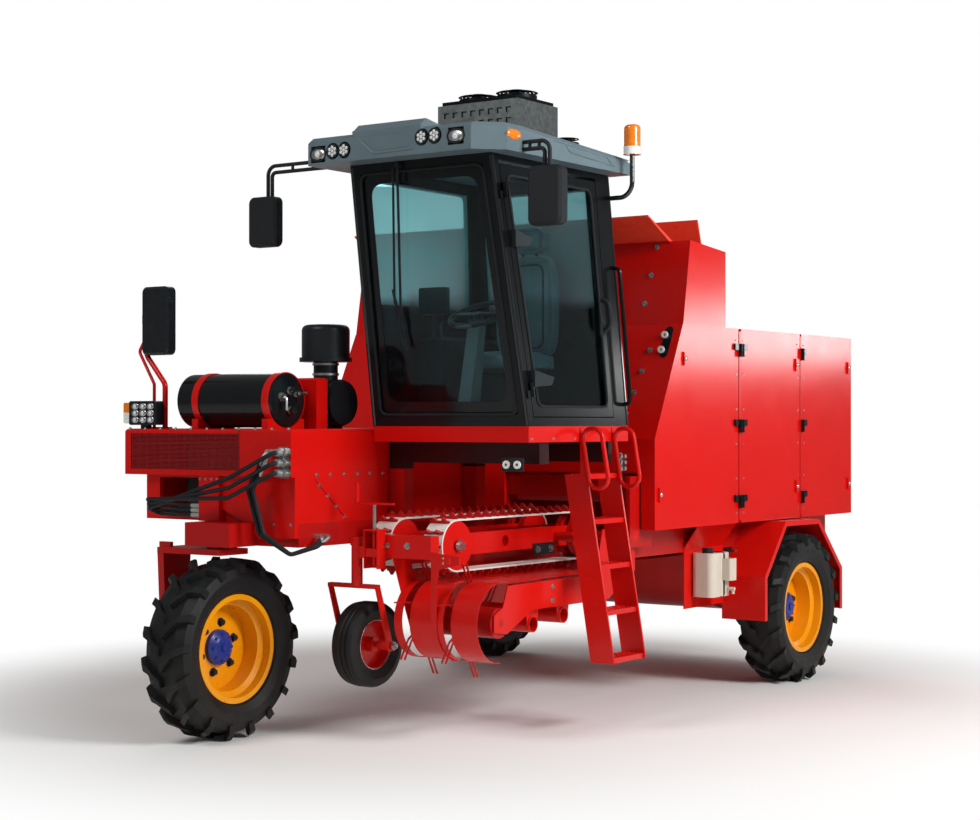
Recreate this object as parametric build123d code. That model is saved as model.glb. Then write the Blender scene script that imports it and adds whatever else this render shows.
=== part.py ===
from build123d import *
import math
import os

# Self-propelled baler, millimetres.
# Machine frame: X to the machine's left, Y to the rear, Z up, Y = 0 at the rear wheels, the front faces -Y.

# Fits and clearances
RUNNING_FIT = 0.05
SEAT_GAP = 0.3
DOOR_GAP = 6.0

# Wheels
TYRE_D = 1080.0
TYRE_W = 340.0
LUG_HEIGHT = 32.0
LUG_PAIRS = 17
LUG_THICK = 44.0
LUG_SLANT = 38.0
LUG_START = 12.0
LUG_ROOT = 60.0
SHOULDER = 45.0
SHOULDER_DROP = 75.0
RIM_R = 305.0
RIM_LIP = 20.0
RIM_W = 250.0
RIM_WALL = 12.0
RIM_WELL = 35.0
RIM_WELL_X = (-85.0, 45.0)
DISC_X = -45.0
HUB_R = 105.0
HUB_REACH = 20.0
AXLE_R = 60.0
AXLE_REACH = -10.0
TRACK = 2680.0
FRONT_WHEEL_X = -300.0
FRONT_WHEEL_Y = -4270.0

# Steering fork
FORK_OFFSET = 370.0
FORK_PLATE = 50.0
FORK_DEPTH = 240.0
FORK_CROWN = 35.0
CROWN_CLEAR = 18.0
KINGPIN_R = 50.0
MOTOR_R = 120.0
EYE_R = 22.0
EYE_PLATE = 24.0
EYE_REACH = 90.0

# Chassis
BEAM_W = 140.0
BEAM_H = 140.0
FRONT_BEAM_Z = 1150.0
BEAM_A_X = -480.0
BEAM_B_X = 70.0
BEAM_FRONT_Y = -4400.0
REAR_BEAM_SET = 290.0
REAR_BEAM_W = 120.0
REAR_BEAM_Z = 1000.0
CROSS_Y = -1990.0
INLET_BEAM_Z = 1400.0
LEG_W = 100.0
LEG_D = 180.0
LEG_BOTTOM = 430.0

# Engine housing
HOUSING_RIGHT = -1160.0
HOUSING_LEFT = 210.0
HOUSING_FRONT = -4230.0
HOUSING_REAR = -2450.0
HOUSING_TOP = 1850.0
FASCIA_BOTTOM = 1565.0
FASCIA_STEP = 130.0
FASCIA_DEPTH = 60.0
HOUSING_WALL = 30.0
GRILLE_RIGHT = -1110.0
GRILLE_LEFT = -206.0
GRILLE_BOTTOM = 1600.0
GRILLE_TOP = 1820.0
GRILLE_T = 12.0
GRILLE_BAR = 8.0
GRILLE_COLUMNS = 14
GRILLE_ROWS = 4
RECESS_X = (-916.0, -534.0)
VALVE_BOX_X = (-534.0, -369.0)
VALVE_BOX_DEPTH = 55.0
CHUTE_X = -190.0
CHUTE_TOP = 1363.0
CHUTE_DEPTH = 25.0
APRON_X = -112.0
APRON_BOTTOM = 1196.0
HEADER_X = (-139.0, 53.0)
HEADER_SET = 185.0
HEADER_DEPTH = 105.0
HEADER_TOP = 2160.0
HOSE_X = 177.0
HOSE_Z = 1712.0
HOSE_PITCH = 60.0
HOSE_COUNT = 3
HOSE_R = 13.0
HOSE_BEND = 36.0
LAMP_X = -1026.0
LAMP_W = 240.0
LAMP_H = 150.0
LAMP_T = 66.0
LAMP_LIFT = 22.0
LAMP_SET = 50.0
MARKER_W = 50.0
FRONT_MIRROR_X = (-1102.0, -863.0)
FRONT_MIRROR_Z = (2310.0, 2738.0)
MIRROR_CRANK = 161.0
MIRROR_SET = 130.0
MIRROR_TUBE_R = 17.0
MIRROR_T = 62.0

# Engine block
ENGINE_X = (-940.0, 120.0)
ENGINE_Y = (-3900.0, -2900.0)
ENGINE_TOP = 1780.0

# Air tank and air cleaner
TANK_R = 165.0
TANK_X = (-795.0, -5.0)
TANK_SET = 230.0
TANK_DOME = 22.0
TANK_VALVES = ((0.0, -60.0), (0.0, 60.0))
VALVE_R = 16.0
VALVE_REACH = 45.0
STRAP_W = 50.0
STRAP_T = 6.0
STRAP_X = (-648.0, -77.0)
CLEANER_X = -95.0
CLEANER_SET = 450.0
CLEANER_R = 145.0
CLEANER_LENGTH = 290.0
CLEANER_LIFT = 15.0
CLEANER_RIBS = 6
CLEANER_RIB = 8.0
NECK_R = 76.0
PRECLEANER_R = 150.0
PRECLEANER_Z = (2266.0, 2497.0)

# Cab
PLATFORM_Z = (1770.0, 1865.0)
CAB_RIGHT = 214.0
CAB_LEFT = 1370.0
CAB_FRONT = -3460.0
CAB_REAR = -2332.0
CAB_TOP = 3440.0
CAB_TAPER = 60.0
CAB_LEAN_FRONT = 300.0
CAB_LEAN_REAR = 144.0
CAB_WALL = 45.0
GLASS_T = 6.0
GLASS_INSET = 18.0
DOOR_HEADROOM = 12.0
PILLAR = 70.0
CAB_HINGE_Z = (2080.0, 3230.0)
ROOF_X = (50.0, 1440.0)
ROOF_Y = (-3930.0, -2400.0)
ROOF_TOP = 3600.0
ROOF_ROUND = 28.0
ROOF_FRONT_Z = 3617.0
ROOF_REAR_Z = 3539.0
ROOF_CORNER = (40.0, 150.0)
BROW_X = (410.0, 944.0)
BROW_Z = 3500.0
BROW_LENGTH = 640.0
ROOF_BROW_TOP = 3655.0
ROOF_LAMP_R = 40.0
POD_RIM = 10.0
POD_DEPTH = 40.0
# Roof lamps: x, z, half width of an oval one (0 for a round one)
ROOF_LAMPS = (
    (163.0, 3498.0, 56.0),
    (276.0, 3508.0, 0.0),
    (364.0, 3508.0, 0.0),
    (941.0, 3536.0, 0.0),
    (1034.0, 3538.0, 0.0),
    (1185.0, 3523.0, 56.0),
)
# Panel line on the roof's left side as (y, z)
ROOF_PANEL = ((-3308.0, 3551.0), (-2700.0, 3518.0), (-2640.0, 3483.0), (-3250.0, 3483.0))
ROOF_PANEL_T = 4.0
UNIT_X = (480.0, 1080.0)
UNIT_Y = (-3150.0, -2700.0)
UNIT_TOP = 3860.0
UNIT_SLOTS = 8
UNIT_SLOT_ROWS = (0.25, 0.5, 0.75)
FAN_R = 125.0
FAN_RISE = 90.0
REAR_FAN = (1080.0, -2600.0)
REAR_FAN_R = 80.0
REAR_FAN_RISE = 70.0
PLINTH_X = (450.0, 1190.0)
PLINTH_Y = (-3180.0, -2500.0)
MIRROR_W = 230.0
MIRROR_ARM_R = 12.0
# Cab mirrors: name, x of the head, bottom, top, y
CAB_MIRRORS = (
    ("left_mirror", 1623.0, 3010.0, 3350.0, -3640.0),
    ("right_mirror", -458.0, 2990.0, 3305.0, -3700.0),
)
BEACON_X = 1520.0
BEACON_Z = (3548.0, 3734.0)
WIPER_X = 650.0
WIPER_LOW = 2560.0

# Inside the cab
SEAT_X = 790.0
SEAT_Y = (-3060.0, -2560.0)
SEAT_W = 460.0
SEAT_RISE = 330.0
SEAT_PAD = 140.0
SEAT_BACK = 1080.0
WHEEL_POST_Y = -3130.0
STEER_RISE = 690.0
STEER_TILT = 25.0
STEER_R = 190.0
CONSOLE_X = (330.0, 520.0)
CONSOLE_Y = (-3150.0, -2560.0)
CONSOLE_H = 560.0

# Bale box
BOX_X = 1390.0
DOOR_T = 40.0
BOX_FRAME_T = 60.0
BOX_FRONT = -2030.0
BOX_REAR = 1000.0
BOX_BOTTOM = 1190.0
BOX_KNEE = 1780.0
BOX_TOP = 2540.0
BOX_SLANT = 372.0
BOX_WALL = 30.0
FRAME_BAR = 70.0
HINGE_R = 13.0
HINGE_PIN_R = 8.0
HINGE_LEN = 45.0
HINGE_OUT = 16.0
HINGE_LEAF = 70.0
HINGE_Z = (1340.0, 1864.0, 2390.0)
# Doors: name, front edge, rear edge, hinge line in Y, side of the hinge (-1 front edge, 1 rear edge)
DOORS = (
    ("front", -2030.0, -873.0, -869.0, 1),
    ("middle", -833.0, 95.0, -837.0, -1),
    ("rear", 122.0, 1000.0, 118.0, -1),
)
# Posts that carry the hinges: front face, rear face
DOOR_POSTS = ((-866.0, -840.0), (101.0, 115.0))
TAILGATE_LAP = 100.0
TAILGATE_Z = (560.0, 2470.0)
TAILGATE_T = 70.0
TAILGATE_AXIS_Z = 2500.0
TAILGATE_AXIS_OUT = 20.0

# Tower
TOWER_FRONT_TOP = (-1556.0, 3103.0)
TOWER_REAR_TOP = (-1060.0, 3059.0)
TOWER_WALL = 25.0
LIP_T = 12.0
LIP_INSET = 150.0
FRONT_LIP = (300.0, 150.0)
REAR_LIP = (60.0, 220.0)

# Bale chamber
CHAMBER_SET = 150.0
CHAMBER_R = 880.0
CHAMBER_Y = -20.0
CHAMBER_Z = 1380.0
CHAMBER_WALL = 12.0
INLET_DEPTH = 380.0
OUTLET_DEPTH = 320.0
FEED_FLOOR_Z = 940.0
FEED_FLOOR_T = 10.0
FEED_FLOOR_LAP = 60.0
FEED_FLOOR_SET = 110.0
FEED_FLOOR_RIGHT = 438.0

# Fenders, skirts and wash tank
FENDER_HALF = 170.0
FENDER_T = 8.0
FENDER_LIP = 28.0
# Wheel arch as (y, z)
FENDER_ARCH = (
    (-697.0, 500.0),
    (-697.0, 806.0),
    (-375.0, 1176.0),
    (170.0, 1171.0),
    (562.0, 797.0),
    (562.0, 490.0),
)
SKIRT_Y = (-1263.0, -705.0)
SKIRT_Z = (611.0, 1022.0)
SKIRT_FLARE = 110.0
SKIRT_T = 8.0
WASH_Y = (-1175.0, -905.0)
WASH_Z = (690.0, 990.0)
WASH_DEPTH = 170.0

# Ladder
LADDER_Y = (-2900.0, -2517.0)
LADDER_DEPTH = 165.0
LADDER_TOP = (1370.0, 1870.0)
LADDER_BOTTOM = (1611.0, 433.0)
STRINGER_T = 14.0
STEP_Z = (466.0, 750.0, 1025.0, 1299.0, 1573.0)
STEP_T = 30.0
RAIL_Z = (1490.0, 1850.0)
RAIL_W = 140.0
RAIL_SET = 6.0
RAIL_BEND = 62.0
RAIL_R = 14.0

# Feeder
PIVOT_Y = -2080.0
PIVOT_Z = 1152.0
PIVOT_R = 30.0
FEEDER_RIGHT = 620.0
FEEDER_LEFT = 1228.0
FEEDER_PLATE = 8.0
BRACKET_GAP = 9.0
CHANNEL_Z = (767.0, 929.0)
CHANNEL_FLANGE = 55.0
CHANNEL_FRONT = -3480.0
LINK_Y = -2350.0
CROSS_TUBES = ((-3140.0, 672.0), (-2800.0, 700.0))
CROSS_TUBE_R = 50.0
FRONT_BAR_X = (500.0, 905.0)
FRONT_BAR_Y = (-3792.0, -3712.0)
FRONT_BAR_Z = (1085.0, 1220.0)
ARM_W = 44.0
ARM_H = 130.0
ARM_END = 25.0
DRUM_Y = -3550.0
DRUM_Z = 715.0
DRUM_R = 90.0
DRUM_SHAFT_R = 25.0
TINE_R = 345.0
TINE_T = 10.0
TINE_COUNT = 6
TINE_X = (715.0, 1015.0)
TINE_SPREAD = 14.0
TINE_HOOK = -60.0
BAND_R = 235.0
BAND_T = 4.0
BAND_GAP = 56.0
STRAP_PLATE_W = 40.0
STRAP_PLATE_T = 7.0
EAR_REACH = 165.0
BELT_X = (425.0, 815.0)
BELT_W = 140.0
BELT_T = 10.0
BELT_TOOTH = 38.0
BELT_PITCH = 84.0
BELT_TURNS = 6
CLEAT_H = 16.0
CLEAT_T = 14.0
CLEAT_BASE = 44.0
CLEAT_TIP = 4.0
PULLEY_R = 147.0
PULLEY_Y = -3500.0
PULLEY_SHAFT_R = 20.0
GAUGE_X = 360.0
GAUGE_Y = -3700.0
GAUGE_Z = 552.0
GAUGE_D = 515.0
GAUGE_W = 170.0
GAUGE_RIM_R = 150.0
GAUGE_AXLE_R = 18.0
GAUGE_STEM_Y = -3832.0
GAUGE_FORK_W = 372.0
GAUGE_LEG_T = 12.0
GAUGE_BAR_Z = 912.0
JACK_X = (464.0, 570.0)
JACK_Z = (1021.0, 1254.0)
CRANK_Z = 1405.0
CRANK_W = 290.0

# Derived places
WHEEL_Z = TYRE_D / 2
WHEEL_X = TRACK / 2
REAR_BEAM_X = WHEEL_X - REAR_BEAM_SET
CHAMBER_X = REAR_BEAM_X - CHAMBER_SET
TAILGATE_X = CHAMBER_X + TAILGATE_LAP
FENDER_X = (WHEEL_X - FENDER_HALF, WHEEL_X + FENDER_HALF)
TANK_Y = HOUSING_FRONT + TANK_SET
CLEANER_Y = TANK_Y + CLEANER_SET
BEAM_TOP = FRONT_BEAM_Z + BEAM_H
REAR_BEAM_TOP = BOX_BOTTOM
FRAME_OUT = BOX_X - DOOR_T - SEAT_GAP
FRAME_IN = FRAME_OUT - BOX_FRAME_T
BEAM_B_OUT = BEAM_B_X + BEAM_W
PULLEY_ENDS = ((PULLEY_Y, PULLEY_SHAFT_R), (PIVOT_Y, PIVOT_R))
ORIGIN_X = 113.0
ORIGIN_Y = -1872.0


def block(x0, x1, y0, y1, z0, z1):
    """Box between six planes."""
    return Pos((x0 + x1) / 2, (y0 + y1) / 2, (z0 + z1) / 2) * Box(x1 - x0, y1 - y0, z1 - z0)


def rod_x(x0, x1, y, z, r):
    """Cylinder along X."""
    return Pos((x0 + x1) / 2, y, z) * Rot(0, 90, 0) * Cylinder(r, x1 - x0)


def rod_y(x, y0, y1, z, r):
    """Cylinder along Y."""
    return Pos(x, (y0 + y1) / 2, z) * Rot(90, 0, 0) * Cylinder(r, y1 - y0)


def rod_z(x, y, z0, z1, r):
    """Cylinder along Z."""
    return Pos(x, y, (z0 + z1) / 2) * Cylinder(r, z1 - z0)


def side_prism(points, x0, x1):
    """Outline of (y, z) points carried from x0 to x1."""
    face = make_face(Polyline(*points, close=True))
    return Pos(x0, 0, 0) * extrude(Plane.YZ * face, amount=x1 - x0)


def front_prism(points, y0, y1):
    """Outline of (x, z) points carried from y0 to y1."""
    face = make_face(Polyline(*points, close=True))
    return Pos(0, y0, 0) * extrude(Plane.XZ * face, amount=-(y1 - y0))


def tube(points, bend, r):
    """Round bar along straight runs joined by tangent arcs."""
    path = FilletPolyline(*points, radius=bend)
    return sweep(Plane(path @ 0, z_dir=path % 0) * Circle(r), path=path)


def ring_x(points):
    """Section of (x, radius) points turned round X."""
    return revolve(make_face(Polyline(*points, close=True)), axis=Axis.X)


def mirrored(part):
    """The same piece on the machine's right side."""
    return mirror(part, about=Plane.YZ)


# Wheels

def drive_tyre():
    """Field tyre round X with slanted lugs that fall away at the shoulders."""
    half = TYRE_W / 2
    outer = TYRE_D / 2
    crown = outer - LUG_HEIGHT
    bead = RIM_R + SEAT_GAP
    lip = RIM_R + RIM_LIP
    seat = RIM_W / 2 - 11
    flank = (
        (seat, bead),
        (seat, lip + 2),
        (half - 32, lip + 12),
        (half - 8, lip + 60),
        (half - 4, crown - 80),
        (half - 22, crown - 28),
        (half - 80, crown - 5),
    )
    section = list(flank) + [(-x, r) for x, r in reversed(flank)]
    carcass = ring_x(section)
    rise = half * math.tan(math.radians(LUG_SLANT))
    spine = ((LUG_START, -0.55 * rise), (half * 0.55, 0.08 * rise), (half, 0.36 * rise))
    reach = half + SHOULDER
    envelope = ring_x(
        (
            (-reach, 0),
            (-reach, outer - SHOULDER_DROP),
            (-half + SHOULDER, outer),
            (half - SHOULDER, outer),
            (reach, outer - SHOULDER_DROP),
            (reach, 0),
        )
    )
    lugs = []
    for side in (-1, 1):
        lower = [(side * x, y - LUG_THICK / 2) for x, y in spine]
        upper = [(side * x, y + LUG_THICK / 2) for x, y in reversed(spine)]
        bar = make_face(Polyline(*lower, *upper, close=True))
        lug = Pos(0, 0, crown - LUG_ROOT) * extrude(bar, amount=LUG_HEIGHT + LUG_ROOT + SHOULDER)
        lug = lug & envelope
        for i in range(LUG_PAIRS):
            turn = 360 / LUG_PAIRS * (i + side * 0.25)
            lugs.append(Rot(turn, 0, 0) * lug)
    return carcass + lugs


def drive_rim():
    """Deep-dished rim with a drop centre and its hub, outer side towards +X."""
    half = RIM_W / 2
    lip = RIM_R + RIM_LIP
    inner = RIM_R - RIM_WALL
    well = RIM_R - RIM_WELL
    floor = well - RIM_WALL
    well0, well1 = RIM_WELL_X
    bore = AXLE_R + RUNNING_FIT
    section = (
        (-half + 15, bore),
        (-half + 15, HUB_R),
        (DISC_X - 8, HUB_R),
        (DISC_X - 28, floor),
        (well0 - 5, floor),
        (well0 - 16, inner),
        (-half, inner),
        (-half, lip),
        (-half + 10, lip),
        (-half + 10, RIM_R),
        (well0 - 10, RIM_R),
        (well0, well),
        (well1, well),
        (well1 + 15, RIM_R),
        (half - 10, RIM_R),
        (half - 10, lip),
        (half, lip),
        (half, inner),
        (well1 + 23, inner),
        (well1 + 8, floor),
        (DISC_X - 12, floor),
        (DISC_X + 8, HUB_R),
        (HUB_REACH - 30, HUB_R),
        (HUB_REACH, HUB_R - 45),
        (HUB_REACH, 0),
        (AXLE_REACH + 2, 0),
        (AXLE_REACH + 2, bore),
    )
    return ring_x(section)


def gauge_tyre():
    """Small ribbed guide tyre round X."""
    half = GAUGE_W / 2
    outer = GAUGE_D / 2
    bead = GAUGE_RIM_R + SEAT_GAP
    section = [(half - 25, bead), (half, outer - 50), (half - 12, outer - 8)]
    for i in range(3):
        x = half - 30 - i * (half - 12) / 2.2
        section += [(x, outer), (x - 18, outer), (x - 21, outer - 10), (x - 26, outer - 10)]
    section = section[:-2]
    section += [(-half + 12, outer - 8), (-half, outer - 50), (-half + 25, bead)]
    return ring_x(section)


def gauge_rim():
    """Rim of the guide wheel."""
    half = GAUGE_W / 2 - 25
    bore = GAUGE_AXLE_R + RUNNING_FIT
    section = (
        (-half, bore),
        (-half, 45),
        (-8, 45),
        (-8, GAUGE_RIM_R - 10),
        (-half, GAUGE_RIM_R - 10),
        (-half, GAUGE_RIM_R),
        (half, GAUGE_RIM_R),
        (half, GAUGE_RIM_R - 10),
        (8, GAUGE_RIM_R - 10),
        (8, 45),
        (half, 45),
        (half, bore),
    )
    return ring_x(section)


# Chassis

def front_fork():
    """One-sided steering fork with its kingpin, motor and stub axle."""
    x, y = FRONT_WHEEL_X, FRONT_WHEEL_Y
    outer = x - FORK_OFFSET - FORK_PLATE
    inner = x - FORK_OFFSET
    crown0 = TYRE_D + CROWN_CLEAR
    crown1 = crown0 + FORK_CROWN
    depth = FORK_DEPTH / 2
    leg = side_prism(
        (
            (y - depth, crown1),
            (y + depth, crown1),
            (y + depth * 0.7, WHEEL_Z - 130),
            (y - depth * 0.7, WHEEL_Z - 130),
        ),
        outer,
        inner,
    )
    crown = block(outer, x + KINGPIN_R * 2, y - depth, y + depth, crown0, crown1)
    boss = rod_z(x, y, crown1, FRONT_BEAM_Z - SEAT_GAP, KINGPIN_R * 1.8)
    pin = rod_z(x, y, crown1, BEAM_TOP, KINGPIN_R)
    motor = rod_x(inner, x - 125, y, WHEEL_Z, MOTOR_R)
    stub = rod_x(inner, x + AXLE_REACH, y, WHEEL_Z, AXLE_R)
    eye_z = crown0 + 10
    eye = block(outer - EYE_REACH, outer + 5, y - EYE_PLATE / 2, y + EYE_PLATE / 2, eye_z - 50, eye_z + 50)
    eye -= rod_y(outer - EYE_REACH / 2, y - EYE_PLATE, y + EYE_PLATE, eye_z, EYE_R)
    return leg + crown + boss + pin + motor + stub + eye


def axle_leg():
    """Left rear leg from the frame down to its stub axle."""
    x1 = REAR_BEAM_X + REAR_BEAM_W - 30
    x0 = x1 - LEG_W
    leg = side_prism(
        (
            (-LEG_D, REAR_BEAM_Z),
            (LEG_D, REAR_BEAM_Z),
            (LEG_D / 2, LEG_BOTTOM),
            (-LEG_D / 2, LEG_BOTTOM),
        ),
        x0,
        x1,
    )
    motor = rod_x(x1, WHEEL_X - 125, 0, WHEEL_Z, MOTOR_R)
    stub = rod_x(x1, WHEEL_X + AXLE_REACH, 0, WHEEL_Z, AXLE_R)
    return leg + motor + stub


def main_frame():
    """Front beams with the steering head, cab posts, rear beams and feeder brackets."""
    top = BEAM_TOP
    rear = CROSS_Y + REAR_BEAM_W
    frame = block(BEAM_A_X, BEAM_A_X + BEAM_W, BEAM_FRONT_Y, rear, FRONT_BEAM_Z, top)
    frame += block(BEAM_B_X, BEAM_B_OUT, BEAM_FRONT_Y + 250, rear, FRONT_BEAM_Z, top)
    head_y = FRONT_WHEEL_Y + 130
    frame += block(BEAM_A_X, FRONT_WHEEL_X + 180, BEAM_FRONT_Y, head_y, FRONT_BEAM_Z, top)
    frame += block(BEAM_A_X, BEAM_B_OUT, head_y - 20, head_y + 100, FRONT_BEAM_Z, top)
    reach = REAR_BEAM_X + REAR_BEAM_W
    frame += block(-reach, BEAM_B_OUT, CROSS_Y, rear, FRONT_BEAM_Z, top)
    for side in (-1, 1):
        x0, x1 = sorted((side * REAR_BEAM_X, side * reach))
        frame += block(x0, x1, CROSS_Y, BOX_REAR, REAR_BEAM_Z, REAR_BEAM_TOP)
    inlet_top = INLET_BEAM_Z + BEAM_H
    bracket_left = FEEDER_LEFT + FEEDER_PLATE + BRACKET_GAP
    frame += block(BEAM_B_X, bracket_left + 30, CROSS_Y, rear, INLET_BEAM_Z, inlet_top)
    frame += block(BEAM_B_X, BEAM_B_OUT, CROSS_Y, rear, top, inlet_top)
    frame += block(REAR_BEAM_X, reach, CROSS_Y, rear, REAR_BEAM_TOP, inlet_top)
    for y in (CAB_FRONT + 160, CAB_REAR - 190):
        x = CAB_RIGHT + 3
        frame += block(BEAM_B_OUT - 5, x + 110, y, y + 100, FRONT_BEAM_Z, top)
        frame += block(x, x + 110, y, y + 100, top, PLATFORM_Z[0])
        frame += block(x, CAB_LEFT - 30, y, y + 100, PLATFORM_Z[0] - 130, PLATFORM_Z[0])
    low = PIVOT_Z - 72
    frame += block(BEAM_B_OUT - 5, BEAM_B_OUT + 30, PIVOT_Y - 70, CROSS_Y + 20, low, top)
    frame += block(bracket_left, bracket_left + 30, PIVOT_Y - 70, rear, low, inlet_top)
    frame -= rod_x(BEAM_B_OUT, bracket_left + 40, PIVOT_Y, PIVOT_Z, PIVOT_R + RUNNING_FIT)
    frame -= rod_z(FRONT_WHEEL_X, FRONT_WHEEL_Y, FRONT_BEAM_Z - 1, top + 1, KINGPIN_R + RUNNING_FIT)
    return frame


# Engine bay

def engine_housing():
    """Open-bottomed cover with an overhanging fascia, a service recess and a header box on its top."""
    w = HOUSING_WALL
    lower_front = HOUSING_FRONT + FASCIA_DEPTH
    lower_right = HOUSING_RIGHT + FASCIA_STEP
    inner_top = HOUSING_TOP - w
    ledge = FASCIA_BOTTOM + w
    back = lower_front + w + 1
    upper = block(HOUSING_RIGHT, HOUSING_LEFT, HOUSING_FRONT, HOUSING_REAR, FASCIA_BOTTOM, HOUSING_TOP)
    upper = fillet(upper.edges().group_by(Axis.Z)[-1], 22)
    lower = block(lower_right, HOUSING_LEFT, lower_front, HOUSING_REAR, BEAM_TOP, FASCIA_BOTTOM)
    rear = HOUSING_REAR - w
    hollow = block(lower_right + w, HOUSING_LEFT - w, lower_front + w, rear, BEAM_TOP - 1, inner_top)
    opening = block(GRILLE_RIGHT, GRILLE_LEFT, HOUSING_FRONT - 1, back, GRILLE_BOTTOM, GRILLE_TOP)
    side = block(HOUSING_RIGHT + w, lower_right + w + 1, HOUSING_FRONT + w, rear, ledge, inner_top)
    front = block(HOUSING_RIGHT + w, HOUSING_LEFT - w, HOUSING_FRONT + w, back, ledge, inner_top)
    recess = block(*RECESS_X, lower_front - 1, back, BEAM_TOP + 20, FASCIA_BOTTOM - 16)
    housing = upper + lower - hollow - side - front - opening - recess
    housing += block(*VALVE_BOX_X, lower_front - VALVE_BOX_DEPTH, lower_front + 1, BEAM_TOP, FASCIA_BOTTOM)
    chute = (
        (VALVE_BOX_X[1] - 1, FASCIA_BOTTOM),
        (VALVE_BOX_X[1] - 1, CHUTE_TOP),
        (CHUTE_X, BEAM_TOP),
        (HOUSING_LEFT, BEAM_TOP),
        (HOUSING_LEFT, FASCIA_BOTTOM),
    )
    housing += front_prism(chute, lower_front - CHUTE_DEPTH, lower_front + 1)
    apron = (
        (APRON_X, BEAM_TOP + 15),
        (APRON_X, APRON_BOTTOM + 40),
        (APRON_X + 40, APRON_BOTTOM),
        (HOUSING_LEFT, APRON_BOTTOM + 8),
        (HOUSING_LEFT, BEAM_TOP + 15),
    )
    housing += front_prism(apron, lower_front - CHUTE_DEPTH, lower_front + 9)
    header_y = TANK_Y + HEADER_SET
    header = block(*HEADER_X, header_y, header_y + HEADER_DEPTH, HOUSING_TOP - 1, HEADER_TOP)
    return housing + chamfer(header.edges().group_by(Axis.Z)[-1], 12)


def radiator_grille():
    """Framed mesh panel that fills the fascia opening."""
    gap = SEAT_GAP
    x0, x1 = GRILLE_RIGHT + gap, GRILLE_LEFT - gap
    z0, z1 = GRILLE_BOTTOM + gap, GRILLE_TOP - gap
    y0 = HOUSING_FRONT + 8
    panel = block(x0, x1, y0, y0 + GRILLE_T, z0, z1)
    pitch_x = (x1 - x0 - GRILLE_BAR) / GRILLE_COLUMNS
    pitch_z = (z1 - z0 - GRILLE_BAR) / GRILLE_ROWS
    holes = []
    for i in range(GRILLE_COLUMNS):
        for j in range(GRILLE_ROWS):
            x = x0 + GRILLE_BAR + i * pitch_x
            z = z0 + GRILLE_BAR + j * pitch_z
            holes.append(
                block(x, x + pitch_x - GRILLE_BAR, y0 - 1, y0 + GRILLE_T + 1, z, z + pitch_z - GRILLE_BAR)
            )
    return panel - holes


def engine_block():
    """Plain engine mass on the front beams."""
    return block(*ENGINE_X, *ENGINE_Y, BEAM_TOP, ENGINE_TOP)


def air_tank():
    """Lying air tank with dished ends and two valves."""
    x0, x1 = TANK_X
    z = HOUSING_TOP + TANK_R + STRAP_T
    crown = TANK_DOME / 2
    section = (
        (x0, 0),
        (x0, TANK_R * 0.5),
        (x0 + crown, TANK_R * 0.92),
        (x0 + TANK_DOME, TANK_R),
        (x1 - TANK_DOME, TANK_R),
        (x1 - crown, TANK_R * 0.92),
        (x1, TANK_R * 0.5),
        (x1, 0),
    )
    body = Pos(0, TANK_Y, z) * ring_x(section)
    for dy, dz in TANK_VALVES:
        body += rod_x(x1 - TANK_DOME, x1 + VALVE_REACH, TANK_Y + dy, z + dz, VALVE_R)
        body += rod_x(x1 + VALVE_REACH - 12, x1 + VALVE_REACH, TANK_Y + dy, z + dz, VALVE_R + 7)
    return body


def tank_cradle():
    """Two straps with feet round the air tank."""
    z = HOUSING_TOP + TANK_R + STRAP_T
    cradle = []
    for x in STRAP_X:
        hoop = rod_x(x, x + STRAP_W, TANK_Y, z, TANK_R + SEAT_GAP + STRAP_T)
        foot = block(x, x + STRAP_W, TANK_Y - TANK_R, TANK_Y + TANK_R, HOUSING_TOP, HOUSING_TOP + 60)
        strap = hoop + foot - rod_x(x - 1, x + STRAP_W + 1, TANK_Y, z, TANK_R + SEAT_GAP)
        strap -= block(x - 1, x + STRAP_W + 1, TANK_Y - 300, TANK_Y + 300, HOUSING_TOP - 100, HOUSING_TOP)
        cradle.append(strap)
    return Compound(cradle)


def air_cleaner():
    """Lying ribbed filter drum on its saddle, with the neck and pre-cleaner above."""
    x, y, z = CLEANER_X, CLEANER_Y, HOUSING_TOP + CLEANER_R + CLEANER_LIFT
    x0, x1 = x - CLEANER_LENGTH / 2, x + CLEANER_LENGTH / 2
    section = [(x0, 0), (x0, CLEANER_R - CLEANER_RIB)]
    pitch = CLEANER_LENGTH / (2 * CLEANER_RIBS + 1)
    for i in range(CLEANER_RIBS):
        rib = x0 + pitch * (2 * i + 1)
        section += [(rib, CLEANER_R - CLEANER_RIB), (rib, CLEANER_R)]
        section += [(rib + pitch, CLEANER_R), (rib + pitch, CLEANER_R - CLEANER_RIB)]
    section += [(x1, CLEANER_R - CLEANER_RIB), (x1, 0)]
    body = Pos(0, y, z) * ring_x(section)
    body += block(x - 60, x + 60, y - 90, y + 90, HOUSING_TOP, z - CLEANER_R / 2)
    low, high = PRECLEANER_Z
    body += rod_z(x, y, z, low + 10, NECK_R)
    for clamp in (low - 85, low - 22):
        body += rod_z(x, y, clamp, clamp + 14, NECK_R + 7)
    cap = rod_z(x, y, low, high, PRECLEANER_R)
    cap = fillet(cap.edges().group_by(Axis.Z)[-1], 38)
    return body + cap + rod_z(x, y, low, low + 26, PRECLEANER_R + 14)


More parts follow.
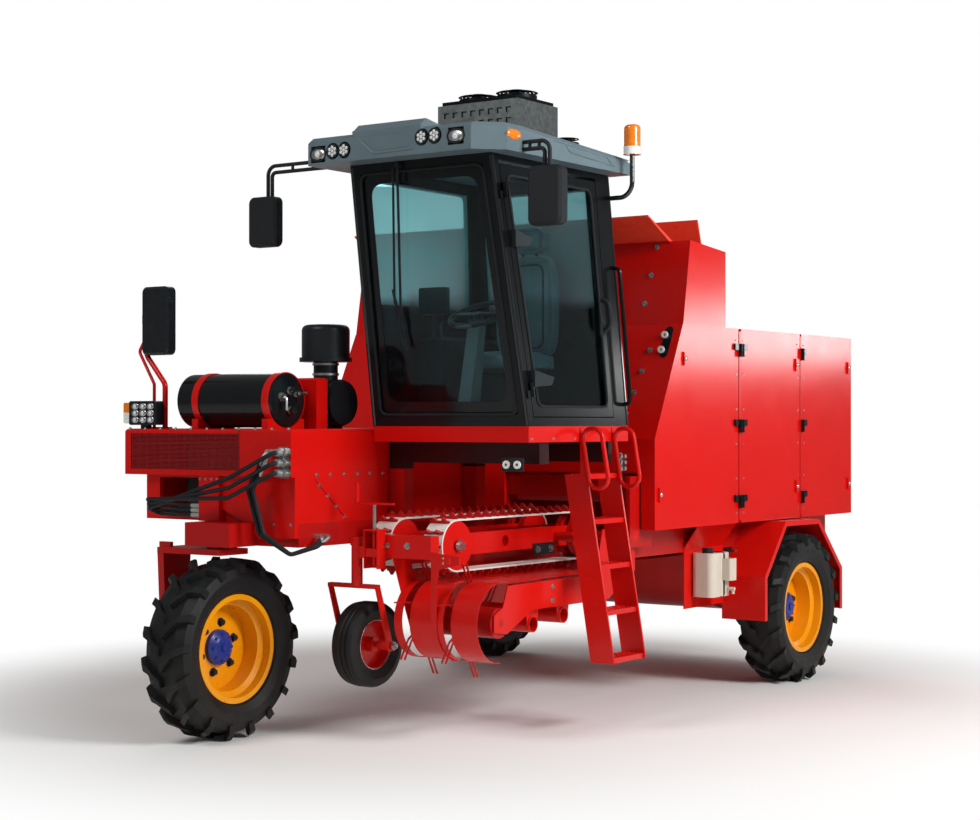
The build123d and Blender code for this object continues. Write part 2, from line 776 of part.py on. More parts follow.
def front_lamp():
    """Square work lamp and a marker lamp on a foot at the housing's front right corner."""
    x, y = LAMP_X, HOUSING_FRONT + LAMP_SET
    foot = HOUSING_TOP + LAMP_LIFT
    lamp = block(x - LAMP_W / 2, x + LAMP_W / 2, y - LAMP_T / 2, y + LAMP_T / 2, foot, foot + LAMP_H)
    lamp = fillet(lamp.edges().filter_by(Axis.Y), 18)
    lamp += block(x - 30, x + 30, y - 18, y + 18, HOUSING_TOP, foot + 2)
    right = x - LAMP_W / 2
    marker = block(right - MARKER_W, right + 2, y - 30, y + 25, foot + 10, foot + LAMP_H - 10)
    return lamp + fillet(marker.edges().filter_by(Axis.Y), 10)


def front_mirror():
    """Mirror on a cranked tube with a brace at the housing's front right corner."""
    y = HOUSING_FRONT + MIRROR_SET
    low, high = FRONT_MIRROR_Z
    x0, x1 = FRONT_MIRROR_X
    mid = (low + high) / 2 + 15
    foot_x = x0 + MIRROR_CRANK
    bend_z = low - 180
    arm = tube(((foot_x, y, HOUSING_TOP), (foot_x, y, bend_z), (x0, y, low), (x0, y, mid)), 60, MIRROR_TUBE_R)
    brace_x = foot_x - 95
    route = ((brace_x, y, HOUSING_TOP), (brace_x, y, bend_z), (x0 - 66, y, low + 27), (x0, y, low + 120))
    arm += tube(route, 30, MIRROR_TUBE_R * 0.6)
    for x in (foot_x, brace_x):
        arm += block(x - 32, x + 32, y - 32, y + 32, HOUSING_TOP, HOUSING_TOP + 10)
    arm += block(x0 - 20, x0 + 12, y - 22, y + 22, mid - 30, mid + 25)
    head = block(x0 + 8, x1, y - MIRROR_T, y + 12, low, high)
    head = fillet(head.edges().filter_by(Axis.Y), 38)
    return arm + chamfer(head.edges().group_by(Axis.Y)[0], 14)


# Cab

def cab_loft(inset, z0=PLATFORM_Z[1], z1=CAB_TOP):
    """Leaning cab body, taken in by an even inset on all four sides."""
    base_z = PLATFORM_Z[1]
    sections = []
    for z in (z0, z1):
        t = (z - base_z) / (CAB_TOP - base_z)
        x0 = CAB_RIGHT + CAB_TAPER * t + inset
        x1 = CAB_LEFT - CAB_TAPER * t - inset
        y0 = CAB_FRONT - CAB_LEAN_FRONT * t + inset
        y1 = CAB_REAR - CAB_LEAN_REAR * t - inset
        sections.append(Pos((x0 + x1) / 2, (y0 + y1) / 2, z) * Rectangle(x1 - x0, y1 - y0))
    return loft(sections)


def cab_skin(inset, depth):
    """Wall of the cab between two insets."""
    return cab_loft(inset) - cab_loft(inset + depth, PLATFORM_Z[1] - 50, CAB_TOP + 50)


def cab_front_y(z):
    """Front plane of the cab at a height."""
    t = (z - PLATFORM_Z[1]) / (CAB_TOP - PLATFORM_Z[1])
    return CAB_FRONT - CAB_LEAN_FRONT * t


def cab_rear_y(z):
    """Rear plane of the cab at a height."""
    t = (z - PLATFORM_Z[1]) / (CAB_TOP - PLATFORM_Z[1])
    return CAB_REAR - CAB_LEAN_REAR * t


def side_window(low, high, front_in, rear_in, x0, x1):
    """Side opening that follows the leaning pillars."""
    points = (
        (cab_front_y(low) + front_in, low),
        (cab_rear_y(low) - rear_in, low),
        (cab_rear_y(high) - rear_in, high),
        (cab_front_y(high) + front_in, high),
    )
    return side_prism(points, x0, x1)


DOOR_LOW = PLATFORM_Z[1] + 58.0
DOOR_HIGH = CAB_TOP - 55.0
CAB_MID = (CAB_RIGHT + CAB_LEFT) / 2


def door_outline(grow, headroom=0.0):
    """Door opening on the cab's left side, grown by a clearance, with headroom for the leaning swing."""
    return side_window(
        DOOR_LOW - grow,
        DOOR_HIGH + grow + headroom,
        PILLAR - grow,
        PILLAR * 2.4 - grow,
        CAB_MID + 200,
        CAB_LEFT + 50,
    )


def window_front(grow):
    """Windscreen opening."""
    low, high = PLATFORM_Z[1] + 70, CAB_TOP - 60
    taper = CAB_TAPER * 0.95
    points = (
        (CAB_RIGHT + PILLAR - grow, low - grow),
        (CAB_LEFT - PILLAR + grow, low - grow),
        (CAB_LEFT - PILLAR - taper + grow, high + grow),
        (CAB_RIGHT + PILLAR + taper - grow, high + grow),
    )
    return front_prism(points, CAB_FRONT - CAB_LEAN_FRONT - 60, CAB_FRONT + 250)


def window_rear(grow):
    """Rear window opening."""
    low, high = PLATFORM_Z[1] + 500, CAB_TOP - 80
    points = (
        (CAB_RIGHT + 150 - grow, low - grow),
        (CAB_LEFT - 150 + grow, low - grow),
        (CAB_LEFT - 150 + grow, high + grow),
        (CAB_RIGHT + 150 - grow, high + grow),
    )
    return front_prism(points, CAB_REAR - CAB_LEAN_REAR - 100, CAB_REAR + 60)


def window_right(grow):
    """Right side window opening."""
    return side_window(
        PLATFORM_Z[1] + 120 - grow,
        CAB_TOP - 70 + grow,
        PILLAR - grow,
        PILLAR * 1.6 - grow,
        CAB_RIGHT - 50,
        CAB_MID - 200,
    )


def cab_hinge(z):
    """Plane on the door's leaning hinge line, with its Z along the line and its X outward."""
    rise = CAB_TOP - PLATFORM_Z[1]
    t = (z - PLATFORM_Z[1]) / rise
    x = CAB_LEFT - CAB_TAPER * t + HINGE_OUT
    y = cab_front_y(z) + PILLAR - DOOR_GAP / 2
    return Plane((x, y, z), x_dir=(1, 0, 0), z_dir=(-CAB_TAPER, -CAB_LEAN_FRONT, rise))


def hinge_half(side, low, high):
    """Hinge leaf on one side of a line along Z, seated on a wall at -HINGE_OUT."""
    y0, y1 = sorted((0, side * HINGE_LEAF * 0.7))
    pad0, pad1 = sorted((side * DOOR_GAP, side * HINGE_LEAF * 0.7))
    half = block(-HINGE_R, 0, y0, y1, low, high)
    half += block(-HINGE_OUT - 4, -HINGE_R + 1, pad0, pad1, low, high)
    return half + rod_z(0, 0, low, high, HINGE_R)


def cab_frame():
    """Pillars and sills with the door and windows cut, and the fixed halves of the door's hinges."""
    doorway = door_outline(DOOR_GAP, DOOR_HEADROOM)
    frame = cab_skin(0, CAB_WALL) - doorway - window_front(0) - window_rear(0) - window_right(0)
    pin = rod_z(0, 0, -5, HINGE_LEN - 3, HINGE_PIN_R)
    half = hinge_half(-1, -HINGE_LEN, -SEAT_GAP) + pin
    for z in CAB_HINGE_Z:
        frame += cab_hinge(z) * half
    return frame


def pane(window):
    """Glass in a window opening."""
    return cab_skin(GLASS_INSET, GLASS_T) & window


def cab_door():
    """Door frame round its glass, with its hinge leaves."""
    door = (cab_skin(0, CAB_WALL - 5) & door_outline(0)) - door_window(0)
    leaf = hinge_half(1, 0, HINGE_LEN) - rod_z(0, 0, -1, HINGE_LEN + 1, HINGE_PIN_R + RUNNING_FIT)
    for z in CAB_HINGE_Z:
        door += cab_hinge(z) * leaf
    return door


def door_window(grow):
    """Glass opening in the door."""
    return side_window(
        DOOR_LOW + 60 - grow,
        DOOR_HIGH - 60 + grow,
        PILLAR + 60 - grow,
        PILLAR * 2.4 + 60 - grow,
        CAB_MID + 200,
        CAB_LEFT + 50,
    )


def cab_platform():
    """Floor plate of the cab with its fascia."""
    box = block(CAB_RIGHT, CAB_LEFT, CAB_FRONT, CAB_REAR, *PLATFORM_Z)
    return box - block(
        CAB_RIGHT + 20, CAB_LEFT - 20, CAB_FRONT + 20, CAB_REAR - 20, PLATFORM_Z[0] - 1, PLATFORM_Z[1] - 20
    ) + block(CAB_RIGHT + 10, CAB_LEFT - 10, CAB_FRONT + 10, CAB_REAR - 10, PLATFORM_Z[0], PLATFORM_Z[0] + 10)


def roof_outline():
    """Plan of the roof as (x, y), with its front corners taken off."""
    x0, x1 = ROOF_X
    y0, y1 = ROOF_Y
    return (
        (x0, y1),
        (x0, y0 + ROOF_CORNER[0]),
        (x0 + ROOF_CORNER[0], y0),
        (x1 - ROOF_CORNER[1], y0),
        (x1, y0 + ROOF_CORNER[1]),
        (x1, y1),
    )


def cab_roof():
    """Roof that falls to the rear, with chamfered edges, a front brow, lamp pods and a side panel line."""
    y0, y1 = ROOF_Y
    plan = extrude(make_face(Polyline(*roof_outline(), close=True)), amount=ROOF_TOP)
    fall = side_prism(((y0, CAB_TOP), (y1, CAB_TOP), (y1, ROOF_REAR_Z), (y0, ROOF_FRONT_Z)), *ROOF_X)
    slab = plan & fall
    slab = chamfer(slab.faces().sort_by(Axis.Z)[-1].edges(), ROOF_ROUND)
    brow = side_prism(
        (
            (y0 + 4, BROW_Z),
            (y0 + 4, ROOF_BROW_TOP - 45),
            (y0 + 60, ROOF_BROW_TOP),
            (y0 + BROW_LENGTH, ROOF_REAR_Z + 25),
            (y0 + BROW_LENGTH, BROW_Z),
        ),
        *BROW_X,
    )
    slab += chamfer(brow.edges().filter_by(Axis.Y, reverse=True).filter_by(Axis.X, reverse=True), 16)
    slab += block(*PLINTH_X, *PLINTH_Y, CAB_TOP + 20, ROOF_TOP)
    r = ROOF_LAMP_R + POD_RIM
    for x, z, width in ROOF_LAMPS:
        slab -= rod_y(x, y0 - 5, y0 + POD_DEPTH, z, r)
        if width > 0:
            slab -= block(x - width, x + width, y0 - 5, y0 + POD_DEPTH, z - r, z + r)
    x1 = ROOF_X[1]
    return slab - side_prism(ROOF_PANEL, x1 - ROOF_PANEL_T, x1 + 1)


def roof_unit():
    """Cooling unit with slotted ends, two fans on its top and a small fan behind it."""
    x0, x1 = UNIT_X
    y0, y1 = UNIT_Y
    unit = block(x0, x1, y0, y1, ROOF_TOP, UNIT_TOP)
    pitch = (x1 - x0) / (UNIT_SLOTS + 1)
    slots = []
    for i in range(UNIT_SLOTS):
        for row in UNIT_SLOT_ROWS:
            x = x0 + pitch * (i + 1)
            z = ROOF_TOP + (UNIT_TOP - ROOF_TOP) * row
            slots.append(block(x - pitch * 0.3, x + pitch * 0.3, y0 - 1, y0 + 12, z - 18, z + 18))
    unit -= slots
    rim = block(x0 + 20, x1 - 20, y0 + 20, y1 - 20, UNIT_TOP - 1, UNIT_TOP + 25)
    y = (y0 + y1) / 2
    for x in (x0 + (x1 - x0) * 0.26, x0 + (x1 - x0) * 0.74):
        rim += rod_z(x, y, UNIT_TOP + 20, UNIT_TOP + 55, FAN_R)
        rim += rod_z(x, y, UNIT_TOP + 50, UNIT_TOP + FAN_RISE, FAN_R * 0.4)
    x, y = REAR_FAN
    fan = rod_z(x, y, ROOF_TOP, ROOF_TOP + REAR_FAN_RISE * 0.7, REAR_FAN_R)
    fan += rod_z(x, y, ROOF_TOP, ROOF_TOP + REAR_FAN_RISE, REAR_FAN_R * 0.4)
    return Compound([unit + rim, fan])


def roof_lamps():
    """Round and oval lamps seated in the pods along the roof's front."""
    y = ROOF_Y[0]
    r = ROOF_LAMP_R
    lamps = []
    for x, z, width in ROOF_LAMPS:
        lamp = rod_y(x, y - 6, y + POD_DEPTH, z, r)
        if width > 0:
            lamp += block(x - width, x + width, y - 2, y + POD_DEPTH, z - r + 8, z + r - 8)
        lamps.append(lamp)
    return Compound(lamps)


def seat():
    """Driver's seat on its pedestal, with a head rest."""
    floor = PLATFORM_Z[1]
    y0, y1 = SEAT_Y
    half = SEAT_W / 2
    x = SEAT_X
    base = block(x - 130, x + 130, y0 + 100, y1 - 100, floor, floor + SEAT_RISE)
    cushion = block(x - half, x + half, y0, y1, floor + SEAT_RISE, floor + SEAT_RISE + SEAT_PAD)
    cushion = fillet(cushion.edges(), 40)
    low, high = floor + SEAT_RISE + 70, floor + SEAT_BACK
    back = ((y1 - 80, low), (y1 + 40, low), (y1 + 60, high), (y1 - 40, high))
    rest = ((y1 - 35, high - 5), (y1 + 25, high - 5), (y1 + 30, high + 190), (y1 - 40, high + 190))
    back = chamfer(side_prism(back, x - half + 20, x + half - 20).edges().filter_by(Axis.X, reverse=True), 22)
    rest = chamfer(side_prism(rest, x - 125, x + 125).edges().filter_by(Axis.X, reverse=True), 18)
    return base + cushion + back + rest


def cab_controls():
    """Steering column and wheel."""
    floor = PLATFORM_Z[1]
    x, y = SEAT_X, WHEEL_POST_Y
    top = floor + STEER_RISE
    column = side_prism(
        ((y - 200, floor), (y - 80, floor), (y, top - 50), (y - 60, top - 30)), x - 45, x + 45
    )
    tilt = Pos(x, y, top) * Rot(STEER_TILT, 0, 0)
    wheel = tilt * Torus(STEER_R, 16)
    spoke = tilt * Box(2 * STEER_R, 40, 14)
    stem = Pos(x, y - 15, top - 30) * Rot(STEER_TILT, 0, 0) * Cylinder(28, 80)
    return column + wheel + spoke + stem


def console():
    """Side console with its lever and a screen."""
    floor = PLATFORM_Z[1]
    x0, x1 = CONSOLE_X
    y0, y1 = CONSOLE_Y
    mid = (x0 + x1) / 2
    top = floor + CONSOLE_H
    box = chamfer(block(x0, x1, y0, y1, floor, top).edges().group_by(Axis.Z)[-1], 25)
    lever = rod_z(mid, y0 + 100, top - 10, top + 110, 12) + Pos(mid, y0 + 100, top + 125) * Sphere(26)
    post = rod_z(mid, y0 + 40, top - 40, top + 150, 14)
    screen = block(mid - 110, mid + 110, y0 + 20, y0 + 50, top + 140, top + 310)
    return box + lever + post + fillet(screen.edges().filter_by(Axis.Y), 14)


def wiper():
    """Wiper arm hung from the windscreen's top rail."""
    x, z0, z1 = WIPER_X, WIPER_LOW, CAB_TOP - 30
    y0, y1 = cab_front_y(z0) - 14, cab_front_y(z1)
    boss = rod_y(x, y1 - 40, y1 - 4, z1, 18)
    return boss + tube(((x, y1 - 30, z1), (x - 110, y0, z0), (x - 122, y0 - 2, z0 - 120)), 20, 8)


def cab_mirror(x_roof, x_head, z0, z1, y):
    """Mirror on a double arm from the roof's side."""
    side = 1 if x_head > x_roof else -1
    upper = CAB_TOP + 60
    lower = CAB_TOP + 18
    y_arm = y + 20
    arm = tube(((x_roof, y_arm, upper), (x_head, y_arm, upper), (x_head, y_arm, z1 - 60)), 60, MIRROR_ARM_R)
    inner = x_head - side * 34
    arm += tube(((x_roof, y_arm, lower), (inner, y_arm, lower), (inner, y_arm, z1 - 60)), 30, MIRROR_ARM_R)
    for t in (0.25, 0.6):
        arm += rod_z(x_roof + (x_head - x_roof) * t, y_arm, lower, upper, MIRROR_ARM_R * 0.8)
    head = block(x_head - MIRROR_W / 2, x_head + MIRROR_W / 2, y - 48, y + 26, z0, z1)
    head = fillet(head.edges().filter_by(Axis.Y), 42)
    return arm + chamfer(head.edges().group_by(Axis.Y)[0], 16)


def beacon():
    """Beacon on its base, on a bent tube from the rear left pillar."""
    low, high = BEACON_Z
    z = low - 260
    y = cab_rear_y(z) - PILLAR
    x = CAB_LEFT - CAB_TAPER * (z - PLATFORM_Z[1]) / (CAB_TOP - PLATFORM_Z[1]) + 1
    arm = tube(((x, y, z), (BEACON_X, y, z), (BEACON_X, y, low + 5)), 90, 15)
    arm += rod_z(BEACON_X, y, low, low + 48, 56)
    dome = rod_z(BEACON_X, y, low + 46, high, 52)
    return arm + fillet(dome.edges().group_by(Axis.Z)[-1], 24)


# Bale box

def box_side():
    """Outline of the box's side as (y, z)."""
    return (
        (BOX_FRONT, BOX_BOTTOM),
        (BOX_REAR, BOX_BOTTOM),
        (BOX_REAR, BOX_TOP),
        (BOX_FRONT + BOX_SLANT, BOX_TOP),
        (BOX_FRONT, BOX_KNEE),
    )


def door_shape(front, rear, inset, x0, x1):
    """Panel of the box's side between two edges, drawn in by an inset."""
    low, high = BOX_BOTTOM + inset, BOX_TOP - inset
    y0, y1 = front + inset, rear - inset
    panel = block(x0, x1, y0, y1, low, high)
    slant = side_prism(box_side(), x0, x1)
    if front > BOX_FRONT + BOX_SLANT:
        return panel
    return panel & (Pos(0, inset * 1.1, 0) * slant)


def box_shell():
    """Side frames, roof, front wall and rear frame of the bale box."""
    sides = None
    for side in (-1, 1):
        x0, x1 = sorted((side * FRAME_IN, side * FRAME_OUT))
        frame = side_prism(box_side(), x0, x1)
        for name, front, rear, hinge, edge in DOORS:
            frame -= door_shape(front, rear, FRAME_BAR, x0 - 1, x1 + 1)
        sides = frame if sides is None else sides + frame
    roof = block(-FRAME_IN, FRAME_IN, BOX_FRONT + BOX_SLANT, BOX_REAR, BOX_TOP - BOX_WALL, BOX_TOP)
    front = side_prism(
        (
            (BOX_FRONT, BEAM_TOP + 2),
            (BOX_FRONT + BOX_WALL, BEAM_TOP + 2),
            (BOX_FRONT + BOX_WALL, BOX_KNEE - 12),
            (BOX_FRONT + BOX_SLANT + 25, BOX_TOP - BOX_WALL),
            (BOX_FRONT + BOX_SLANT, BOX_TOP),
            (BOX_FRONT, BOX_KNEE),
        ),
        -FRAME_IN,
        FRAME_IN,
    )
    wall = BOX_FRONT + BOX_WALL
    inlet = block(BEAM_B_OUT + 2, FRAME_IN - 2, BOX_FRONT - 1, wall + 1, BEAM_TOP, INLET_BEAM_Z + 160)
    shell = sides + roof + (front - inlet)
    rear0 = BOX_REAR - TAILGATE_T
    for side in (-1, 1):
        x0, x1 = sorted((side * (TAILGATE_X + 10), side * FRAME_IN))
        shell += block(x0, x1, rear0, BOX_REAR, BOX_BOTTOM, BOX_TOP - BOX_WALL)
        x0, x1 = sorted((side * (REAR_BEAM_X + 60), side * FRAME_IN))
        shell += block(x0, x1, CROSS_Y + REAR_BEAM_W + 5, rear0, BOX_BOTTOM, BOX_BOTTOM + 10)
    shell += block(-FRAME_IN, FRAME_IN, rear0, BOX_REAR, TAILGATE_Z[1] + 10, BOX_TOP - BOX_WALL)
    shell += hinge_posts(-1) + hinge_posts(1)
    for x in (-700, 0, 700):
        y = BOX_REAR + TAILGATE_AXIS_OUT
        shell += block(x - 25, x + 25, BOX_REAR - 10, y, TAILGATE_AXIS_Z - 14, TAILGATE_AXIS_Z + 14)
        shell += rod_x(x - 25, x + 25, y, TAILGATE_AXIS_Z, 18)
        shell += rod_x(x + 20, x + 75, y, TAILGATE_AXIS_Z, 10)
    return shell


def hinge_posts(side):
    """Posts between the doors with the fixed halves of the hinges."""
    axis_x = BOX_X + HINGE_OUT
    face = axis_x - HINGE_R
    posts = []
    for y0, y1 in DOOR_POSTS:
        post = block(FRAME_OUT - 5, face, y0, y1, BOX_BOTTOM + 20, BOX_TOP - 20)
        for name, front, rear, hinge, edge in DOORS:
            if abs(hinge - (y0 + y1) / 2) > 40:
                continue
            for z in HINGE_Z:
                low, high = z - HINGE_LEN, z - SEAT_GAP
                arm0, arm1 = sorted((hinge - edge * 3, (y0 + y1) / 2))
                post += block(face - 1, axis_x, arm0, arm1, low, high)
                post += rod_z(axis_x, hinge, low, high, HINGE_R)
                post += rod_z(axis_x, hinge, z - 5, z + HINGE_LEN - 3, HINGE_PIN_R)
        posts.append(post if side > 0 else mirrored(post))
    return posts


def box_door(front, rear, hinge, edge):
    """Left side door with its hinge leaves and latches."""
    x0, x1 = BOX_X - DOOR_T, BOX_X
    axis_x = BOX_X + HINGE_OUT
    face = axis_x - HINGE_R
    door = door_shape(front, rear, 0, x0, x1)
    edge_y = rear if edge > 0 else front
    for z in HINGE_Z:
        y0, y1 = sorted((hinge, edge_y - edge * HINGE_LEAF))
        pad0, pad1 = sorted((edge_y, edge_y - edge * HINGE_LEAF))
        leaf = block(face, axis_x, y0, y1, z, z + HINGE_LEN)
        leaf += block(x1 - 1, face + 1, pad0, pad1, z, z + HINGE_LEN)
        leaf += rod_z(axis_x, hinge, z, z + HINGE_LEN, HINGE_R)
        leaf -= rod_z(axis_x, hinge, z - 1, z + HINGE_LEN + 1, HINGE_PIN_R + RUNNING_FIT)
        door += leaf
    free_y = (front if edge > 0 else rear) + edge * 60
    for z in (BOX_BOTTOM + 230, BOX_TOP - 230):
        y = free_y + 330 if edge > 0 and z > BOX_KNEE else free_y
        door += block(x1 - 1, x1 + 14, y - 20, y + 20, z - 45, z + 45)
    return door


def tailgate():
    """Rear gate of the bale chamber, hung from its top edge."""
    y0, y1 = BOX_REAR - TAILGATE_T, BOX_REAR
    z0, z1 = TAILGATE_Z
    gate = block(-TAILGATE_X, TAILGATE_X, y0, y1, z0, z1)
    gate -= block(-TAILGATE_X + 30, TAILGATE_X - 30, y0 - 1, y1 - 30, z0 + 30, z1 - 30)
    for x in (-500, 0, 500):
        gate += block(x - 25, x + 25, y1 - 1, y1 + 35, z0 + 80, z1 - 80)
    for z in (z0 + 60, z1 - 90):
        gate += block(-TAILGATE_X + 60, TAILGATE_X - 60, y1 - 1, y1 + 35, z - 25, z + 25)
    y = BOX_REAR + TAILGATE_AXIS_OUT
    for x in (-700, 0, 700):
        knuckle = block(x + 25.3, x + 75, y1 - 25, y + 14, z1 - 30, TAILGATE_AXIS_Z)
        knuckle -= block(x, x + 100, y1 - 40, y1 + 2, z1, TAILGATE_AXIS_Z + 30)
        knuckle += rod_x(x + 25.3, x + 75, y, TAILGATE_AXIS_Z, 18)
        gate += knuckle
        gate -= rod_x(x, x + 80, y, TAILGATE_AXIS_Z, 10 + RUNNING_FIT)
    return gate


def bale_chamber():
    """Round chamber with its side discs and feed floor, open at the front inlet and at the rear."""
    ring = rod_x(-CHAMBER_X, CHAMBER_X, CHAMBER_Y, CHAMBER_Z, CHAMBER_R)
    ring -= rod_x(
        -CHAMBER_X + CHAMBER_WALL, CHAMBER_X - CHAMBER_WALL, CHAMBER_Y, CHAMBER_Z, CHAMBER_R - CHAMBER_WALL
    )
    reach = CHAMBER_X - CHAMBER_WALL
    front, rear = CHAMBER_Y - CHAMBER_R, CHAMBER_Y + CHAMBER_R
    floor_top = FEED_FLOOR_Z + FEED_FLOOR_T
    ring -= block(-reach, reach, front - 1, front + INLET_DEPTH, floor_top, PIVOT_Z + 160)
    ring -= block(-reach, reach, rear - OUTLET_DEPTH, rear + 1, TAILGATE_Z[0] + 60, BOX_TOP)
    chord = math.sqrt(CHAMBER_R**2 - (CHAMBER_Z - FEED_FLOOR_Z) ** 2)
    floor = block(
        FEED_FLOOR_RIGHT,
        reach,
        PIVOT_Y + FEED_FLOOR_SET,
        CHAMBER_Y - chord + FEED_FLOOR_LAP,
        FEED_FLOOR_Z,
        floor_top,
    )
    for side in (-1, 1):
        x0, x1 = sorted((side * (CHAMBER_X - 5), side * (REAR_BEAM_X + 55)))
        ring += block(x0, x1, CHAMBER_Y - 400, CHAMBER_Y + 400, BOX_BOTTOM, BOX_BOTTOM + 10)
    return ring + floor


def tower():
    """Tall part of the box behind the cab with its flared lip."""
    outline = (
        (BOX_FRONT + BOX_SLANT + 5, BOX_TOP),
        TOWER_FRONT_TOP,
        TOWER_REAR_TOP,
        (TOWER_REAR_TOP[0], BOX_TOP),
    )
    body = side_prism(outline, -BOX_X, BOX_X)
    t = TOWER_WALL
    hollow = (
        (outline[0][0] + t, BOX_TOP - 1),
        (TOWER_FRONT_TOP[0] + t, TOWER_FRONT_TOP[1] - t),
        (TOWER_REAR_TOP[0] - t, TOWER_REAR_TOP[1] - t),
        (TOWER_REAR_TOP[0] - t, BOX_TOP - 1),
    )
    body -= side_prism(hollow, -BOX_X + t, BOX_X - t)
    y, z = TOWER_FRONT_TOP
    reach = BOX_X - LIP_INSET
    tip_y, tip_z = y - FRONT_LIP[0], z + FRONT_LIP[1]
    lip = side_prism(((y, z - LIP_T), (y + 30, z), (tip_y, tip_z), (tip_y, tip_z - LIP_T)), -reach, reach)
    y, z = TOWER_REAR_TOP[0] - 60, TOWER_REAR_TOP[1]
    tip_y, tip_z = y - REAR_LIP[0], z + REAR_LIP[1]
    back = side_prism(((y, z), (y + LIP_T, z - 2), (tip_y, tip_z), (tip_y - LIP_T, tip_z)), -reach, reach)
    return body + lip + back


# Side equipment

def fender():
    """Left wheel arch bent from flat sheet, with a flange along its outer edge."""
    line = Polyline(*FENDER_ARCH)
    sheet = make_face(offset(line, FENDER_T, side=Side.LEFT, closed=True))
    x0, x1 = FENDER_X
    arch = Pos(x0, 0, 0) * extrude(Plane.YZ * sheet, amount=x1 - x0)
    lip = make_face(offset(line, FENDER_LIP, side=Side.RIGHT, closed=True))
    return arch + Pos(x1 - FENDER_T, 0, 0) * extrude(Plane.YZ * lip, amount=FENDER_T)


def skirt():
    """Left skirt sheet with its flare up to the box's sill."""
    x = REAR_BEAM_X + REAR_BEAM_W
    z0, z1 = SKIRT_Z
    top = BOX_BOTTOM - 8
    t = SKIRT_T
    points = (
        (x, z0),
        (x + t, z0),
        (x + t, z1),
        (x + t + SKIRT_FLARE, top),
        (x + SKIRT_FLARE, top),
        (x, z1 + 6),
    )
    return front_prism(points, *SKIRT_Y)


def wash_tank():
    """Two-lobed hand wash tank with its cap, tap and soap dispenser."""
    x0 = REAR_BEAM_X + REAR_BEAM_W + SKIRT_T
    x1 = x0 + WASH_DEPTH
    y0, y1 = WASH_Y
    z0, z1 = WASH_Z
    mid = (y0 + y1) / 2
    tank = None
    for a, b in ((y0, mid + 8), (mid - 8, y1)):
        lobe = fillet(block(x0, x1, a, b, z0, z1).edges().filter_by(Axis.Z), 45)
        tank = lobe if tank is None else tank + lobe
    x = (x0 + x1) / 2
    cap = rod_z(x + 10, y0 + 70, z1 - 1, z1 + 35, 38)
    tap = rod_x(x1 - 40, x1 + 60, y1 - 60, z0 + 50, 12) + rod_z(x1 + 48, y1 - 60, z0 + 15, z0 + 60, 10)
    soap = block(x1 - 30, x1 + 62, y1 - 120, y1 - 25, z0 + 110, z1 - 40)
    return tank + cap + tap + fillet(soap.edges().filter_by(Axis.Z), 18)


def ladder():
    """Access ladder with stringers, steps and two oblong handrails."""
    (xt, zt), (xb, zb) = LADDER_TOP, LADDER_BOTTOM
    d = LADDER_DEPTH
    rail = ((xt, zt), (xb, zb), (xb - d, zb), (xt - d + 5, zt))
    y0, y1 = LADDER_Y
    shape = front_prism(rail, y0, y0 + STRINGER_T) + front_prism(rail, y1 - STRINGER_T, y1)
    for z in STEP_Z:
        t = (zt - z) / (zt - zb)
        x1 = xt + (xb - xt) * t
        shape += block(x1 - d + 10, x1 - 10, y0 + 2, y1 - 2, z - STEP_T, z)
    foot = CAB_LEFT + SEAT_GAP
    shape -= block(0, foot, y0 - 1, y1 + 1, PLATFORM_Z[0] - 200, zt + 1)
    low, high = RAIL_Z
    lean = (high - low) * (xb - xt) / (zt - zb)
    for y in (y0 + STRINGER_T / 2, y1 - STRINGER_T / 2):
        loop = (
            (foot + RAIL_SET, y, high),
            (foot + RAIL_SET + RAIL_W, y, high),
            (foot + RAIL_SET + RAIL_W + lean, y, low),
            (foot + RAIL_SET + lean, y, low),
        )
        path = FilletPolyline(*loop, radius=RAIL_BEND, close=True)
        shape += sweep(Plane(path @ 0, z_dir=path % 0) * Circle(RAIL_R), path=path)
    return shape


def hydraulic_hoses():
    """Hoses held at both ends: a bundle looped back to the valve box and a pair down to the front beam."""
    x, y = HOSE_X, HOUSING_FRONT
    box_x = VALVE_BOX_X[0]
    box_y = HOUSING_FRONT + FASCIA_DEPTH - VALVE_BOX_DEPTH / 2
    hoses = []
    for i in range(HOSE_COUNT):
        z = HOSE_Z - HOSE_PITCH * i
        end_z = BEAM_TOP + 20 + HOSE_R + 2.2 * HOSE_R * i
        route = (
            (x, y, z),
            (x, y - 120, z),
            (x - 300, y - 170 - 8 * i, z - 150),
            (box_x - 290, y - 130 - 8 * i, end_z + 40),
            (box_x - 320, y - 20, end_z + 8),
            (box_x - 200, box_y, end_z),
            (box_x, box_y, end_z),
        )
        hose = tube(route, HOSE_BEND, HOSE_R) + rod_y(x, y - 95, y, z, HOSE_R + 8)
        hoses.append(hose + rod_x(box_x - 80, box_x, box_y, end_z, HOSE_R + 0.8))
    for i in range(2):
        a = x - 66 - 36 * i
        end_y = y + 270 - 60 * i
        route = (
            (a, y, HOSE_Z),
            (a, y - 70, HOSE_Z),
            (a - 130, y - 80, HOSE_Z - 220),
            (a - 60, y - 60, BEAM_TOP - 60),
            (BEAM_B_OUT - 20, y + 20, FRONT_BEAM_Z - 40),
            (BEAM_B_OUT + 80, y + 140 - 30 * i, FRONT_BEAM_Z + 5),
            (BEAM_B_OUT + 75, end_y, FRONT_BEAM_Z + 62),
            (BEAM_B_OUT, end_y, FRONT_BEAM_Z + 62),
        )
        hoses.append(tube(route, HOSE_BEND, HOSE_R) + rod_y(a, y - 60, y, HOSE_Z, HOSE_R + 5))
    return Compound(hoses)


# Feeder

